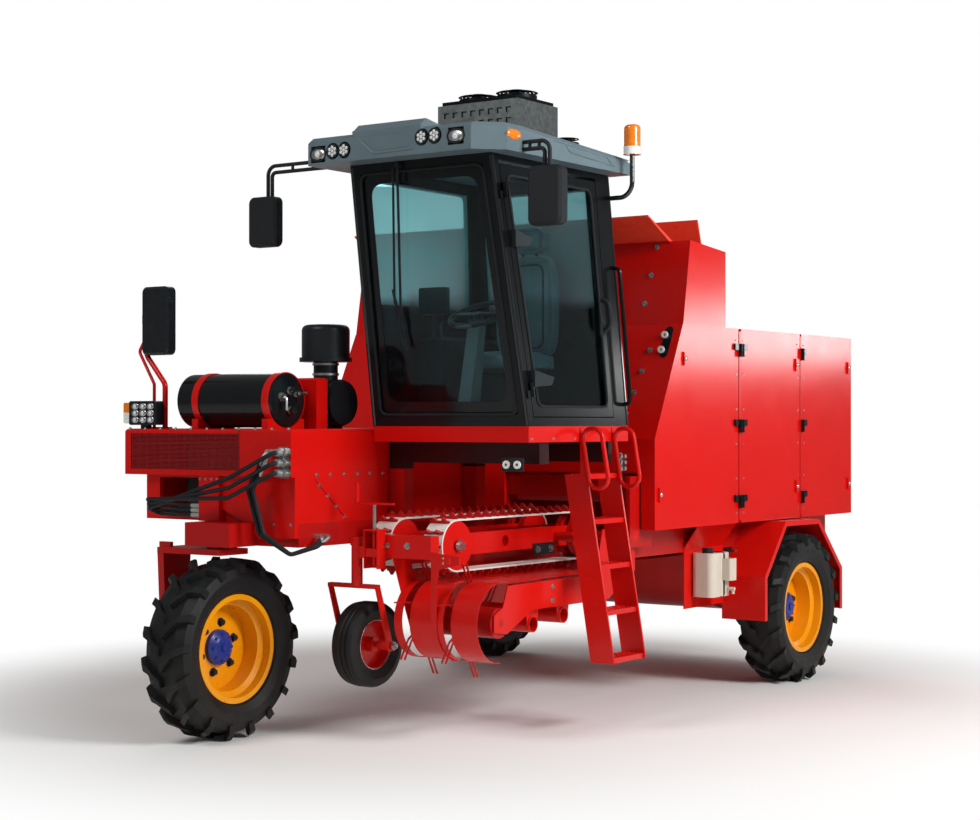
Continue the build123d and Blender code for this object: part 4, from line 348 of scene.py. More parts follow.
def lens_plastic(name, tones, patches=()):
    """Clear or coloured lamp plastic with fine flutes."""
    material, tree, shader, place = surface(name, Coat_Weight=0.6, Coat_Roughness=0.03)
    coloured(tree, shader, place, mottle(tree, place, tones, size=30), patches)
    uneven(tree, shader, place, size=50, rough=(0.1, 0.2), wave=0.6, wave_size=12)
    return material


# Finishes inside one piece: low and high corner in machine millimetres, tones, how metallic
OPEN = (None, None, None)
# Hinge leaves stand outside the doors' skin and the posts, on both sides of the box
DOOR_SKIN, POST_SKIN = 1390.6, 1393.6
FRONT_LEAVES, REAR_LEAVES = (-950, -756), (95, 205)
LEAF_METAL = 0.3
DOOR_HINGES = (
    ((DOOR_SKIN, FRONT_LEAVES[0], None), (None, FRONT_LEAVES[1], None), GLOSS_BLACK, LEAF_METAL),
    ((DOOR_SKIN, REAR_LEAVES[0], None), (None, REAR_LEAVES[1], None), GLOSS_BLACK, LEAF_METAL),
    ((None, FRONT_LEAVES[0], None), (-DOOR_SKIN, FRONT_LEAVES[1], None), GLOSS_BLACK, LEAF_METAL),
    ((None, REAR_LEAVES[0], None), (-DOOR_SKIN, REAR_LEAVES[1], None), GLOSS_BLACK, LEAF_METAL),
)
POST_HINGES = (
    ((POST_SKIN, None, None), OPEN, GLOSS_BLACK, LEAF_METAL),
    (OPEN, (-POST_SKIN, None, None), GLOSS_BLACK, LEAF_METAL),
)
TANK_VALVES = (((-4.0, None, None), OPEN, STEEL, 1.0),)
HOSE_CLAMPS = (
    ((None, None, 2181), (None, None, 2195), STEEL, 1.0),
    ((None, None, 2244), (None, None, 2258), STEEL, 1.0),
)
MARKER_LENSES = (
    ((None, None, 1882), (-1144, None, 1950), PALE, 0.0),
    ((None, None, 1950), (-1144, None, 2014), AMBER, 0.0),
)
MIRROR_HEAD = (
    ((-1084, None, 2300), (-860, None, None), SOFT_BLACK, 0.0),
    ((-1096, None, 2300), (-1083, -4118, None), SOFT_BLACK, 0.0),
)
BEACON_PARTS = (
    (OPEN, (None, None, 3548), SOFT_BLACK, 0.0),
    ((None, None, 3548), (None, None, 3597), PALE, 0.0),
)
FAN_FRAMES = (
    ((None, None, 3862), OPEN, SOFT_BLACK, 0.0),
    ((None, -2690, None), OPEN, SOFT_BLACK, 0.0),
)
WASH_CAP = (((None, -1160, 990), (1340, None, None), SOFT_BLACK, 0.0),)
FITTINGS = (
    ((40, -4327, 1560), OPEN, STEEL, 1.0),
    ((-616, None, 1300), (-534, None, 1400), STEEL, 1.0),
    ((197, -4060, 1180), (None, -3930, 1240), STEEL, 1.0),
)
JACK_SCREW = (((None, None, 1256), (None, -3780, 1398), STEEL, 1.0),)
COLUMN = (((730, None, 1866), (850, None, 2480), COLUMN_GREY, 0.6),)
# Painted light: the tower above this height takes the lighter lip red, for the lip's lit inside
HOPPER_LIP_PAINTED_LIGHT = (((None, None, 3104), OPEN, PAINTED_LIGHT_LIP_RED, 0.0),)
# Painted shade: the chassis under the cab's floor turns near-black red, standing in for the shadow there
UNDER_CAB_PAINTED_SHADE = (((CAB_RIGHT, CAB_FRONT, 1600), (CAB_LEFT, CAB_REAR, 1772), PAINTED_SHADE_RED, 0.0),)

# Enamels: name, tones, roughness from and to, dust, finishes inside the piece
RED_PAINT = enamel("red_gloss_enamel", RED)
TOWER_PAINT = enamel("red_tower_enamel", RED, (0.14, 0.22), 0.0, HOPPER_LIP_PAINTED_LIGHT)
DOOR_PAINT = enamel("red_door_enamel", RED, (0.12, 0.2), 0.05, DOOR_HINGES)
BOX_PAINT = enamel("red_box_enamel", RED, (0.16, 0.26), 0.1, POST_HINGES)
BEAD_PAINT = enamel("red_polished_enamel", RED, (0.05, 0.1), 0.0)
MIRROR_PAINT = enamel("red_tube_enamel", RED, (0.2, 0.3), 0.0, MIRROR_HEAD)
FRAME_PAINT = enamel("red_chassis_enamel", DEEP_RED, (0.28, 0.42), 0.1, UNDER_CAB_PAINTED_SHADE)
JACK_PAINT = enamel("red_jack_enamel", RED, (0.2, 0.3), 0.2, JACK_SCREW)
MESH_PAINT = enamel("dark_red_mesh_enamel", MESH_RED, (0.35, 0.5), 0.1)
SEAM_SHADE = enamel("dark_red_panel_gap", SEAM_RED, (0.5, 0.6), 0.0)
TANK_PAINT = enamel("black_tank_enamel", GLOSS_BLACK, (0.1, 0.2), 0.0, TANK_VALVES)
CAB_PAINT = enamel("black_cab_enamel", GLOSS_BLACK, (0.14, 0.22), 0.0, shine=0.12)
TUBE_PAINT = enamel("black_polished_tube_enamel", GLOSS_BLACK, (0.04, 0.1), 0.0, shine=0.6)
BLUE_PAINT = enamel("blue_hub_enamel", HUB_BLUE, (0.25, 0.35), 0.1)
# Rubbers: name, tones, dust, finishes inside the piece
TYRE_RUBBER = rubber("black_tyre_rubber")
HOSE_RUBBER = rubber("black_hose_rubber", SOFT_BLACK, 0.0, FITTINGS)
SEAL_RUBBER = rubber("black_seal_rubber", SOFT_BLACK, 0.0)
# Moulded finishes: name, tones, roughness from and to, size of the grain, finishes inside the piece
BLACK_PLASTIC = moulded("black_grained_plastic", SOFT_BLACK)
CLEANER_PLASTIC = moulded("black_cleaner_plastic", SOFT_BLACK, (0.3, 0.45), 12, HOSE_CLAMPS)
LAMP_PLASTIC = moulded("black_lamp_plastic", SOFT_BLACK, (0.25, 0.4), 8, MARKER_LENSES)
COLUMN_PLASTIC = moulded("black_control_plastic", SOFT_BLACK, (0.3, 0.5), 8, COLUMN)
GREY_PLASTIC = moulded("grey_handle_plastic", GREY, (0.75, 0.9), 8)
ROOF_PLASTIC = moulded("grey_roof_plastic", ROOF_GREY, (0.28, 0.4), 30)
# Gloss black: the printed border on the windscreen, and painted shade for the twine slot
FRIT_AND_SLOT_SHADE = moulded("black_frit_and_painted_slot_shade", GLOSS_BLACK, (0.08, 0.16), 40)
CAST_IRON = moulded("cast_iron_paint", IRON, (0.5, 0.7), 8)
SEAT_VINYL = moulded("grey_seat_vinyl", SEAT_GREY, (0.22, 0.4), 40)
SEAT_PIPING = moulded("black_seat_piping", PIPING, (0.4, 0.5), 10)
MILKY_PLASTIC = moulded("milky_polyethylene", MILKY, (0.3, 0.45), 30, WASH_CAP)
EYELET_CERAMIC = moulded("white_eyelet_ceramic", PALE, (0.2, 0.3), 20)
# Bare metals: name, tones, roughness from and to, size of the grain, finishes inside the piece
GALVANISED = bare_metal("galvanised_sheet", ZINC, (0.35, 0.5), 30, FAN_FRAMES)
PLATED_STEEL = bare_metal("zinc_plated_steel", STEEL, (0.2, 0.35), 20)
MIRROR_GLASS = bare_metal("silvered_mirror_glass", PALE, (0.02, 0.06), 90)
# Glasses: name, tones, how clear
CAB_GLASS = tinted_glass_with_painted_reflection("tinted_cab_glass_painted_reflection", GLASS_TINT_AND_REFLECTION)
DOOR_GLASS = tinted_glass_with_painted_reflection("darker_door_glass_painted_reflection", DOOR_TINT_AND_REFLECTION)
FILMED_GLASS = tinted_glass_with_painted_reflection("filmed_window_glass_painted_reflection", FILM_TINT_AND_REFLECTION, 0.6)
# Lenses: name, tones, finishes inside the piece
CLEAR_LENS = lens_plastic("clear_lamp_lens", LENS)
AMBER_LENS = lens_plastic("amber_lamp_lens", AMBER)
BEACON_LENS = lens_plastic("amber_beacon_lens", AMBER, BEACON_PARTS)
# Belt fabric with its red cleats
BELT_FABRIC = belt_fabric("cream_belt_fabric")

# Which finish each node wears
DOORS = [f"{row}_door_{side}" for row in ("front", "middle", "rear") for side in ("left", "right")]
FINISHES = {
    RED_PAINT: (
        "engine_housing", "tailgate", "fenders", "skirts", "cab_platform", "ladder", "tank_cradle",
        "stripper_bands", "feeder_frame", "gauge_rim", "belt_pulleys",
    ),
    TOWER_PAINT: ("tower",),
    DOOR_PAINT: DOORS,
    BOX_PAINT: ("box_shell",),
    MIRROR_PAINT: ("front_mirror",),
    FRAME_PAINT: ("main_frame", "axle_left", "axle_right", "front_fork", "pickup_drum", "bale_chamber"),
    JACK_PAINT: ("gauge_mount",),
    MESH_PAINT: ("radiator_grille",),
    TANK_PAINT: ("air_tank",),
    CAB_PAINT: ("cab_frame", "cab_door"),
    TYRE_RUBBER: ("front_tyre", "rear_tyre_left", "rear_tyre_right", "gauge_tyre"),
    HOSE_RUBBER: ("hydraulic_hoses",),
    CLEANER_PLASTIC: ("air_cleaner",),
    LAMP_PLASTIC: ("front_lamp",),
    COLUMN_PLASTIC: ("cab_controls",),
    BLACK_PLASTIC: ("console", "wiper", "left_mirror", "right_mirror", "roof_lamps"),
    ROOF_PLASTIC: ("cab_roof",),
    GALVANISED: ("roof_unit",),
    CAST_IRON: ("engine_block",),
    CAB_GLASS: ("windscreen",),
    FILMED_GLASS: ("right_window", "rear_window"),
    DOOR_GLASS: ("door_glass",),
    SEAT_VINYL: ("seat",),
    BEACON_LENS: ("beacon",),
    MILKY_PLASTIC: ("wash_tank",),
    BELT_FABRIC: ("feed_belts",),
}


def dress(node, material):
    """One finish on all of a node."""
    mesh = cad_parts[node].data
    mesh.materials.clear()
    mesh.materials.append(material)


for finish, nodes in FINISHES.items():
    for node in nodes:
        dress(node, finish)
for rim in ("front_rim", "rear_rim_left", "rear_rim_right"):
    low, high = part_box(rim)
    dress(rim, wheel_enamel(f"gold_and_blue_{rim}", (low + high) / 2))


# Building pieces

# Faces that meet below this angle look smooth
SMOOTH_BELOW = math.radians(35)
# Points in a bend, the round of a bar and the round of a block's edge
BEND_STEPS, BAR_STEPS, EDGE_STEPS = 6, 2, 2
# How far off a surface the search for it starts, in metres
SEARCH = 0.4


def piece(name, body, material, *meshes):
    """Meshes as one piece with one finish that rides a body."""
    shape = bmesh.new()
    for mesh in meshes:
        shape.from_mesh(mesh)
        bpy.data.meshes.remove(mesh)
    whole = bpy.data.meshes.new(name)
    shape.to_mesh(whole)
    shape.free()
    whole.materials.clear()
    whole.materials.append(material)
    whole.polygons.foreach_set("material_index", [0] * len(whole.polygons))
    whole.shade_smooth()
    whole.set_sharp_from_angle(angle=SMOOTH_BELOW)
    thing = bpy.data.objects.new(name, whole)
    bpy.context.scene.collection.objects.link(thing)
    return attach(thing, body)


def baked(thing):
    """Mesh of an object with its modifiers applied; the object itself goes."""
    bpy.context.scene.collection.objects.link(thing)
    graph = bpy.context.evaluated_depsgraph_get()
    mesh = bpy.data.meshes.new_from_object(thing.evaluated_get(graph))
    bpy.data.objects.remove(thing)
    return mesh


def bent(path, reach, closed):
    """A path with each corner turned into a short curve that starts and ends a reach from it."""
    turned = []
    for i, corner in enumerate(path):
        if not closed and i in (0, len(path) - 1):
            turned.append(corner)
            continue
        before = corner + (path[i - 1] - corner).normalized() * reach
        after = corner + (path[(i + 1) % len(path)] - corner).normalized() * reach
        for step in range(BEND_STEPS + 1):
            t = step / BEND_STEPS
            turned.append(before.lerp(corner, t).lerp(corner.lerp(after, t), t))
    return turned


def bar(points, radius, bend=0, closed=False):
    """Round bar through points in machine millimetres, its corners bent."""
    path = [at(*p) for p in points]
    if bend:
        path = bent(path, bend * MM, closed)
    curve = bpy.data.curves.new("bar", "CURVE")
    curve.dimensions = "3D"
    curve.bevel_depth = radius * MM
    curve.bevel_resolution = BAR_STEPS
    curve.use_fill_caps = True
    spline = curve.splines.new("POLY")
    spline.points.add(len(path) - 1)
    for knot, place in zip(spline.points, path):
        knot.co = (*place, 1.0)
    spline.use_cyclic_u = closed
    return baked(bpy.data.objects.new("bar", curve))


def block(low, high, edge):
    """Box between two corners in machine millimetres, its edges rounded."""
    shape = bmesh.new()
    size = at(*high) - at(*low)
    middle = (at(*high) + at(*low)) / 2
    bmesh.ops.create_cube(shape, size=1.0, matrix=Matrix.LocRotScale(middle, None, size))
    rounding = {"offset": edge * MM, "segments": EDGE_STEPS, "profile": 0.5, "affect": "EDGES"}
    bmesh.ops.bevel(shape, geom=shape.edges[:], **rounding)
    mesh = bpy.data.meshes.new("block")
    shape.to_mesh(mesh)
    shape.free()
    return mesh


def plate(loop, thick, hole=None):
    """Flat plate from a loop of machine points and a thickness vector, with a hole of as many points."""
    shape = bmesh.new()
    outer = [shape.verts.new(at(*p)) for p in loop]
    if hole:
        inner = [shape.verts.new(at(*p)) for p in hole]
        count = len(loop)
        for i in range(count):
            j = (i + 1) % count
            shape.faces.new((outer[i], outer[j], inner[j], inner[i]))
    else:
        shape.faces.new(outer)
    grown = bmesh.ops.extrude_face_region(shape, geom=shape.faces[:])["geom"]
    moved = [part for part in grown if isinstance(part, bmesh.types.BMVert)]
    bmesh.ops.translate(shape, verts=moved, vec=Vector(thick) * MM)
    bmesh.ops.recalc_face_normals(shape, faces=shape.faces[:])
    mesh = bpy.data.meshes.new("plate")
    shape.to_mesh(mesh)
    shape.free()
    return mesh


def spot(node, place, facing):
    """Point on a node's surface, and its normal there, looking at a machine point against a direction."""
    reach = Vector(facing) * SEARCH
    hit, point, normal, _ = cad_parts[node].ray_cast(at(*place) + reach, -reach.normalized())
    if not hit:
        raise ValueError(f"no surface of {node} at {place}")
    return point, normal


# Repeated shapes, each on points that carry their own facing, turn and size

def bolt_shape(tree):
    """Hexagon head on a washer, one across the flats."""
    head = add(tree, "GeometryNodeMeshCylinder", {"Vertices": 6, "Radius": 0.55, "Depth": 0.6})
    washer = add(tree, "GeometryNodeMeshCylinder", {"Vertices": 14, "Radius": 0.8, "Depth": 0.2})
    lift = {"Geometry": head.outputs["Mesh"], "Translation": (0.0, 0.0, 0.35)}
    raised = add(tree, "GeometryNodeTransform", lift)
    both = add(tree, "GeometryNodeJoinGeometry")
    for part in (washer, raised):
        tree.links.new(part.outputs[0], both.inputs[0])
    return both.outputs[0]


def slat_shape(tree):
    """Flat bar, one each way."""
    return add(tree, "GeometryNodeMeshCube", {"Size": (1.0, 1.0, 1.0)}).outputs["Mesh"]


def dome_shape(tree):
    """Lens dome, one across."""
    sizes = {"Segments": 14, "Rings": 8, "Radius": 0.5}
    return add(tree, "GeometryNodeMeshUVSphere", sizes).outputs["Mesh"]


def ring_shape(tree):
    """Wire ring, one across."""
    circle = add(tree, "GeometryNodeCurvePrimitiveCircle", {"Resolution": 28, "Radius": 0.5})
    wire = add(tree, "GeometryNodeCurvePrimitiveCircle", {"Resolution": 6, "Radius": 0.05})
    curves = {"Curve": circle.outputs["Curve"], "Profile Curve": wire.outputs["Curve"]}
    return add(tree, "GeometryNodeCurveToMesh", curves).outputs[0]


def repeat_tree(name, shape):
    """Node tree that sets a shape on each point, faced, turned and sized by the point's own values."""
    tree = bpy.data.node_groups.new(name, "GeometryNodeTree")
    tree.interface.new_socket("Points", in_out="INPUT", socket_type="NodeSocketGeometry")
    tree.interface.new_socket("Finish", in_out="INPUT", socket_type="NodeSocketMaterial")
    tree.interface.new_socket("Pieces", in_out="OUTPUT", socket_type="NodeSocketGeometry")
    given = add(tree, "NodeGroupInput").outputs
    facing, turn, size = (
        add(tree, "GeometryNodeInputNamedAttribute", {"Name": label}, data_type="FLOAT_VECTOR").outputs[0]
        for label in ("facing", "turn", "size")
    )
    faced = add(tree, "FunctionNodeAlignRotationToVector", {"Vector": facing}, axis="Z").outputs[0]
    spin = {"Rotation": faced, "Vector": turn}
    turned = add(tree, "FunctionNodeAlignRotationToVector", spin, axis="X", pivot_axis="Z").outputs[0]
    setting = {"Points": given["Points"], "Instance": shape(tree), "Rotation": turned, "Scale": size}
    placed = add(tree, "GeometryNodeInstanceOnPoints", setting).outputs[0]
    real = add(tree, "GeometryNodeRealizeInstances", {"Geometry": placed}).outputs[0]
    finished = add(tree, "GeometryNodeSetMaterial", {"Geometry": real, "Material": given["Finish"]})
    add(tree, "NodeGroupOutput", {"Pieces": finished.outputs[0]})
    return tree


BOLT = repeat_tree("hexagon_bolts", bolt_shape)
SLAT = repeat_tree("flat_slats", slat_shape)
DOME = repeat_tree("lens_domes", dome_shape)
RING = repeat_tree("wire_rings", ring_shape)


def repeats(name, body, material, tree, points):
    """Every repeat of one shape on one body as one piece; a point has place, facing, turn and size."""
    mesh = bpy.data.meshes.new(name)
    mesh.from_pydata([point[0] for point in points], [], [])
    for column, label in enumerate(("facing", "turn", "size"), start=1):
        values = mesh.attributes.new(label, "FLOAT_VECTOR", "POINT")
        values.data.foreach_set("vector", [number for point in points for number in point[column]])
    thing = bpy.data.objects.new(name, mesh)
    modifier = thing.modifiers.new("repeats", "NODES")
    modifier.node_group = tree
    modifier[tree.interface.items_tree["Finish"].identifier] = material
    return piece(name, body, material, baked(thing))


def sized(x, y, z):
    """Size of a repeat in millimetres."""
    return Vector((x, y, z)) * MM


def evenly(first, last, count):
    """Places from the first to the last, both counted."""
    if count == 1:
        return [Vector(first)]
    return [Vector(first).lerp(Vector(last), i / (count - 1)) for i in range(count)]


def around(axis, middle, radius, count, start=0.0):
    """Places on a circle about a line along X, Y or Z (0, 1 or 2)."""
    places = []
    for i in range(count):
        angle = start + math.tau * i / count
        place = Vector(middle)
        place[(axis + 1) % 3] += radius * math.cos(angle)
        place[(axis + 2) % 3] += radius * math.sin(angle)
        places.append(place)
    return places


# Bolts in rows: body, node they sit on, first, last, count, side they are seen from, width of the head
BOLT_ROWS = (
    ("chassis", "engine_housing", (210, -3995, 1574), (210, -3365, 1574), 6, LEFT, 15),
    ("chassis", "engine_housing", (210, -3975, 1514), (210, -3740, 1316), 4, LEFT, 15),
    ("chassis", "engine_housing", (-1130, -4215, 1850), (180, -4215, 1850), 11, UP, 13),
    ("chassis", "engine_housing", (-1160, -4180, 1825), (-1160, -2490, 1825), 9, RIGHT, 15),
    ("chassis", "engine_housing", (-1160, -4180, 1590), (-1160, -2490, 1590), 9, RIGHT, 15),
    ("chassis", "engine_housing", (-522, -4225, 1545), (-381, -4225, 1545), 4, FRONT, 10),
    ("chassis", "engine_housing", (-80, -4170, 1285), (180, -4170, 1285), 3, FRONT, 12),
    ("chassis", "tower", (1141, -1600, 3070), (1082, -1640, 2686), 3, FRONT, 24),
    ("chassis", "box_shell", (1189, -1760, 2366), (1128, -1960, 1946), 4, FRONT, 24),
    ("chassis", "cab_platform", (1370, -3430, 1790), (1370, -2960, 1790), 3, LEFT, 12),
    ("chassis", "fenders", (1200, -560, 900), (1200, -300, 900), 1, UP, 18),
    ("feeder", "feeder_frame", (733, -3792, 1160), (580, -3792, 1160), 2, FRONT, 26),
    ("feeder", "feeder_frame", (1236, -3000, 891), (1236, -3000, 808), 2, LEFT, 20),
    ("feeder", "feeder_frame", (1236, -2620, 891), (1236, -2620, 808), 2, LEFT, 20),
    ("feeder", "feeder_frame", (890, -3500, 1152), (890, -3500, 1152), 1, LEFT, 44),
    ("feeder", "gauge_mount", (546, -3700, 552), (546, -3700, 552), 1, LEFT, 30),
    ("panel_middle_door_left", "middle_door_left", (1390, 55, 1260), (1390, 55, 2460), 6, LEFT, 9),
    ("panel_middle_door_left", "middle_door_left", (1390, -800, 1260), (1390, -800, 2460), 6, LEFT, 9),
    ("panel_rear_door_left", "rear_door_left", (1390, 160, 1260), (1390, 160, 2460), 6, LEFT, 9),
    ("panel_front_door_left", "front_door_left", (1390, -905, 1260), (1390, -905, 2460), 6, LEFT, 9),
    ("panel_middle_door_right", "middle_door_right", (-1390, 55, 1260), (-1390, 55, 2460), 6, RIGHT, 9),
    ("panel_rear_door_right", "rear_door_right", (-1390, 160, 1260), (-1390, 160, 2460), 6, RIGHT, 9),
    ("panel_front_door_right", "front_door_right", (-1390, -905, 1260), (-1390, -905, 2460), 6, RIGHT, 9),
    ("rear_gate", "tailgate", (-900, 1070, 2400), (900, 1070, 2400), 9, REAR, 18),
    ("rear_gate", "tailgate", (-900, 1070, 640), (900, 1070, 640), 9, REAR, 18),
)


def bolts():
    """All bolts in rows, one piece for each body."""
    by_body = {}
    for body, node, first, last, count, seen_from, head in BOLT_ROWS:
        for place in evenly(first, last, count):
            point, normal = spot(node, place, seen_from)
            by_body.setdefault(body, []).append((point, normal, normal.orthogonal(), sized(head, head, head)))
    for body, points in by_body.items():
        repeats(f"{body}_bolts", body, PLATED_STEEL, BOLT, points)


# Wheels' nuts and studs: radius of their circle, count, turn of the first, size, and the boss in the middle
DISC_NUT_R, DISC_NUTS, DISC_NUT_TURN, DISC_NUT = 150, 6, 0.3, (34, 34, 40)
HUB_STUD_R, HUB_STUDS, HUB_STUD = 78, 8, (14, 14, 9)
HUB_BOSS = (44, 44, 14)
# Gauge wheel's bright rim edge: middle, radius, radius of the bead and count of its sides
GAUGE_HUB = (422, -3700, 552)
GAUGE_EDGE_R, GAUGE_BEAD_R, GAUGE_EDGE_SIDES = 148, 3, 36


def wheel_bolts():
    """Dark nuts on each wheel's disc, blue studs and a boss on its hub, and the gauge rim's bright edge."""
    for body, (x, y) in WHEELS.items():
        rim_node = body.replace("wheel", "rim")
        side = RIGHT if body.endswith("right") else LEFT
        hub = (x, y, WHEEL_Z)
        nuts = [(place, DISC_NUT) for place in around(0, hub, DISC_NUT_R, DISC_NUTS, DISC_NUT_TURN)]
        studs = [(place, HUB_STUD) for place in around(0, hub, HUB_STUD_R, HUB_STUDS)] + [(hub, HUB_BOSS)]
        for name, material, heads in (("nuts", BLACK_PLASTIC, nuts), ("hub_studs", BLUE_PAINT, studs)):
            points = [(spot(rim_node, place, side)[0], side, UP, sized(*size)) for place, size in heads]
            repeats(f"{body}_{name}", body, material, BOLT, points)
    edge = bar(around(0, GAUGE_HUB, GAUGE_EDGE_R, GAUGE_EDGE_SIDES), GAUGE_BEAD_R, closed=True)
    piece("gauge_rim_edge", "gauge_wheel", PLATED_STEEL, edge)


# Radiator grille: width, heights, face, and the louvres' pitch, height and depth
GRILLE_X = (-1106, -210)
GRILLE_Z = (1606, 1814)
GRILLE_FACE = -4223
LOUVRE_PITCH, LOUVRE_H, LOUVRE_T = 8.0, 4.5, 6.0


def grille_louvres():
    """Fine level louvres over the radiator grille."""
    count = int((GRILLE_Z[1] - GRILLE_Z[0]) / LOUVRE_PITCH) + 1
    middle = (GRILLE_X[0] + GRILLE_X[1]) / 2
    size = sized(GRILLE_X[1] - GRILLE_X[0], LOUVRE_H, LOUVRE_T)
    places = evenly((middle, GRILLE_FACE, GRILLE_Z[0]), (middle, GRILLE_FACE, GRILLE_Z[1]), count)
    repeats("grille_louvres", "chassis", MESH_PAINT, SLAT, [(at(*p), FRONT, LEFT, size) for p in places])


# Fan guards: x and y of the middle, height, and radii of the rings
LARGE_RINGS, SMALL_RINGS = (72, 96, 120), (30, 52, 74)
FANS = (
    ((636, -2925), 3932, LARGE_RINGS),
    ((924, -2925), 3932, LARGE_RINGS),
    ((1080, -2600), 3672, SMALL_RINGS),
)
SPOKES, SPOKE_W, SPOKE_T = 6, 8, 6
# Size that sets the thickness of a wire ring along its axis
RING_DEPTH = 60


def fan_guards():
    """Wire rings and spokes over the fans on the roof."""
    rings, spokes = [], []
    for (x, y), z, radii in FANS:
        for radius in radii:
            rings.append((at(x, y, z), UP, LEFT, sized(radius * 2, radius * 2, RING_DEPTH)))
        middle = sum(radii) / len(radii)
        for place in around(2, (x, y, z), middle, SPOKES):
            outward = place - Vector((x, y, z))
            spokes.append((at(*place), UP, outward, sized(radii[-1] - radii[0], SPOKE_W, SPOKE_T)))
    repeats("fan_guard_rings", "chassis", BLACK_PLASTIC, RING, rings)
    repeats("fan_guard_spokes", "chassis", BLACK_PLASTIC, SLAT, spokes)


# Round roof lamps: bezel, radius of the circle of small domes, their count and size
ROUND_BEZEL = (80, 80, RING_DEPTH)
ROUND_DOME_R, ROUND_DOMES, ROUND_DOME = 23.2, 6, (22, 22, 10)
# Oval roof lamps: how far behind the round ones, bezel, reflector and dome
OVAL_BACK = 4
OVAL_BEZEL, OVAL_REFLECTOR, OVAL_DOME = (118, 82, RING_DEPTH), (108, 72, 16), (46, 46, 34)
# Front lamp: pitch of its three rows of three cells, and the reflector and dome in each
CELL_X, CELL_Z = 66, 42
CELL_REFLECTOR, CELL_DOME = (62, 40, 8), (30, 30, 18)
SIDE_MARKER, SIDE_MARKER_SIZE = (1440, -3715, 3535), (150, 62, 30)


def lamps():
    """Lens domes of the roof lamps and the front lamp, the roof lamps' bezels and the amber side marker."""
    domes, bezels, reflectors = [], [], []
    for x, z in ROUND_LAMPS:
        middle = Vector((x, ROOF_LAMP_Y, z))
        bezels.append((at(*middle), FRONT, LEFT, sized(*ROUND_BEZEL)))
        for place in [middle] + around(1, middle, ROUND_DOME_R, ROUND_DOMES):
            domes.append((at(*place), FRONT, LEFT, sized(*ROUND_DOME)))
    for x, z in OVAL_LAMPS:
        middle = at(x, ROOF_LAMP_Y + OVAL_BACK, z)
        bezels.append((middle, FRONT, LEFT, sized(*OVAL_BEZEL)))
        reflectors.append((middle, FRONT, LEFT, sized(*OVAL_REFLECTOR)))
        domes.append((middle, FRONT, LEFT, sized(*OVAL_DOME)))
    x, y, z = FRONT_LAMP
    for column in (-1, 0, 1):
        for row in (-1, 0, 1):
            place = at(x + column * CELL_X, y, z + row * CELL_Z)
            reflectors.append((place, FRONT, LEFT, sized(*CELL_REFLECTOR)))
            domes.append((place, FRONT, LEFT, sized(*CELL_DOME)))
    marker = (at(*SIDE_MARKER), LEFT, REAR, sized(*SIDE_MARKER_SIZE))
    repeats("lamp_domes", "chassis", CLEAR_LENS, DOME, domes)
    repeats("lamp_reflectors", "chassis", PLATED_STEEL, DOME, reflectors)
    repeats("lamp_bezels", "chassis", BLACK_PLASTIC, RING, bezels)
    repeats("roof_side_marker", "chassis", AMBER_LENS, DOME, [marker])


# Cab trim

def cab_corner(z):
    """Right and left side and front and rear end of the cab at a height."""
    t = (z - CAB_FLOOR) / (CAB_TOP - CAB_FLOOR)
    sides = (CAB_RIGHT + CAB_TAPER * t, CAB_LEFT - CAB_TAPER * t)
    ends = (CAB_FRONT - LEAN_FRONT * t, CAB_REAR - LEAN_REAR * t)
    return sides, ends


def side_loop(pane, side):
    """Corners of a side window: side 0 is the right, 1 the left."""
    low, high, front_in, rear_in = pane
    loop = []
    for z, order in ((low, (0, 1)), (high, (1, 0))):
        sides, ends = cab_corner(z)
        edges = (ends[0] + front_in, ends[1] - rear_in)
        loop += [(sides[side], edges[i], z) for i in order]
    return loop


def end_loop(pane, end, shrink=(0, 0, 0), back=0):
    """Corners of the front (0) or rear (1) window, drawn in at its sides, foot and top, and set back."""
    low, high, right, left, draw = pane
    loop = []
    for z, order in ((low + shrink[1], (0, 1)), (high - shrink[2], (1, 0))):
        t = (z - low) / (high - low)
        edges = (right + draw * t + shrink[0], left - draw * t - shrink[0])
        y = cab_corner(z)[1][end] + back
        loop += [(edges[i], y, z) for i in order]
    return loop


def machine(points):
    """Frame points back in machine millimetres."""
    return [tuple((p - DATUM) / MM) for p in points]


def window_trim():
    """Rubber seals round the panes and the black printed border of the windscreen."""
    fixed = (end_loop(WINDSCREEN, 0), end_loop(REAR_PANE, 1), side_loop(RIGHT_PANE, 0))
    seals = [bar(loop, SEAL_R, SEAL_BEND, True) for loop in fixed]
    piece("window_seals", "chassis", SEAL_RUBBER, *seals)
    door_seal = bar(side_loop(DOOR_PANE, 1), SEAL_R, SEAL_BEND, True)
    piece("door_window_seal", "driver_door", SEAL_RUBBER, door_seal)
    outer = [at(*p) for p in end_loop(WINDSCREEN, 0, back=GLASS_SET)]
    inner = [at(*p) for p in end_loop(WINDSCREEN, 0, (FRIT_SIDE, FRIT_LOW, FRIT_TOP), GLASS_SET)]
    rim = machine(bent(outer, FRIT_CORNER * MM, True))
    opening = machine(bent(inner, FRIT_ROUND * MM, True))
    piece("windscreen_border", "chassis", FRIT_AND_SLOT_SHADE, plate(rim, (0, -FRIT_T, 0), opening))


# Glossy tubes down the cab's corners: radius, how far in from the corner, foot and top
TUBE_R, TUBE_IN, TUBE_Z = 14, 8, (1872, 3425)


def corner_tubes():
    """Round tubes that form the corners of the cab's frame and catch a line of light."""
    inward = (TUBE_IN, -TUBE_IN)
    tubes = []
    for side in (0, 1):
        for end in (0, 1):
            path = []
            for z in TUBE_Z:
                sides, ends = cab_corner(z)
                path.append((sides[side] + inward[side], ends[end] + inward[end], z))
            tubes.append(bar(path, TUBE_R))
    piece("cab_corner_tubes", "chassis", TUBE_PAINT, *tubes)


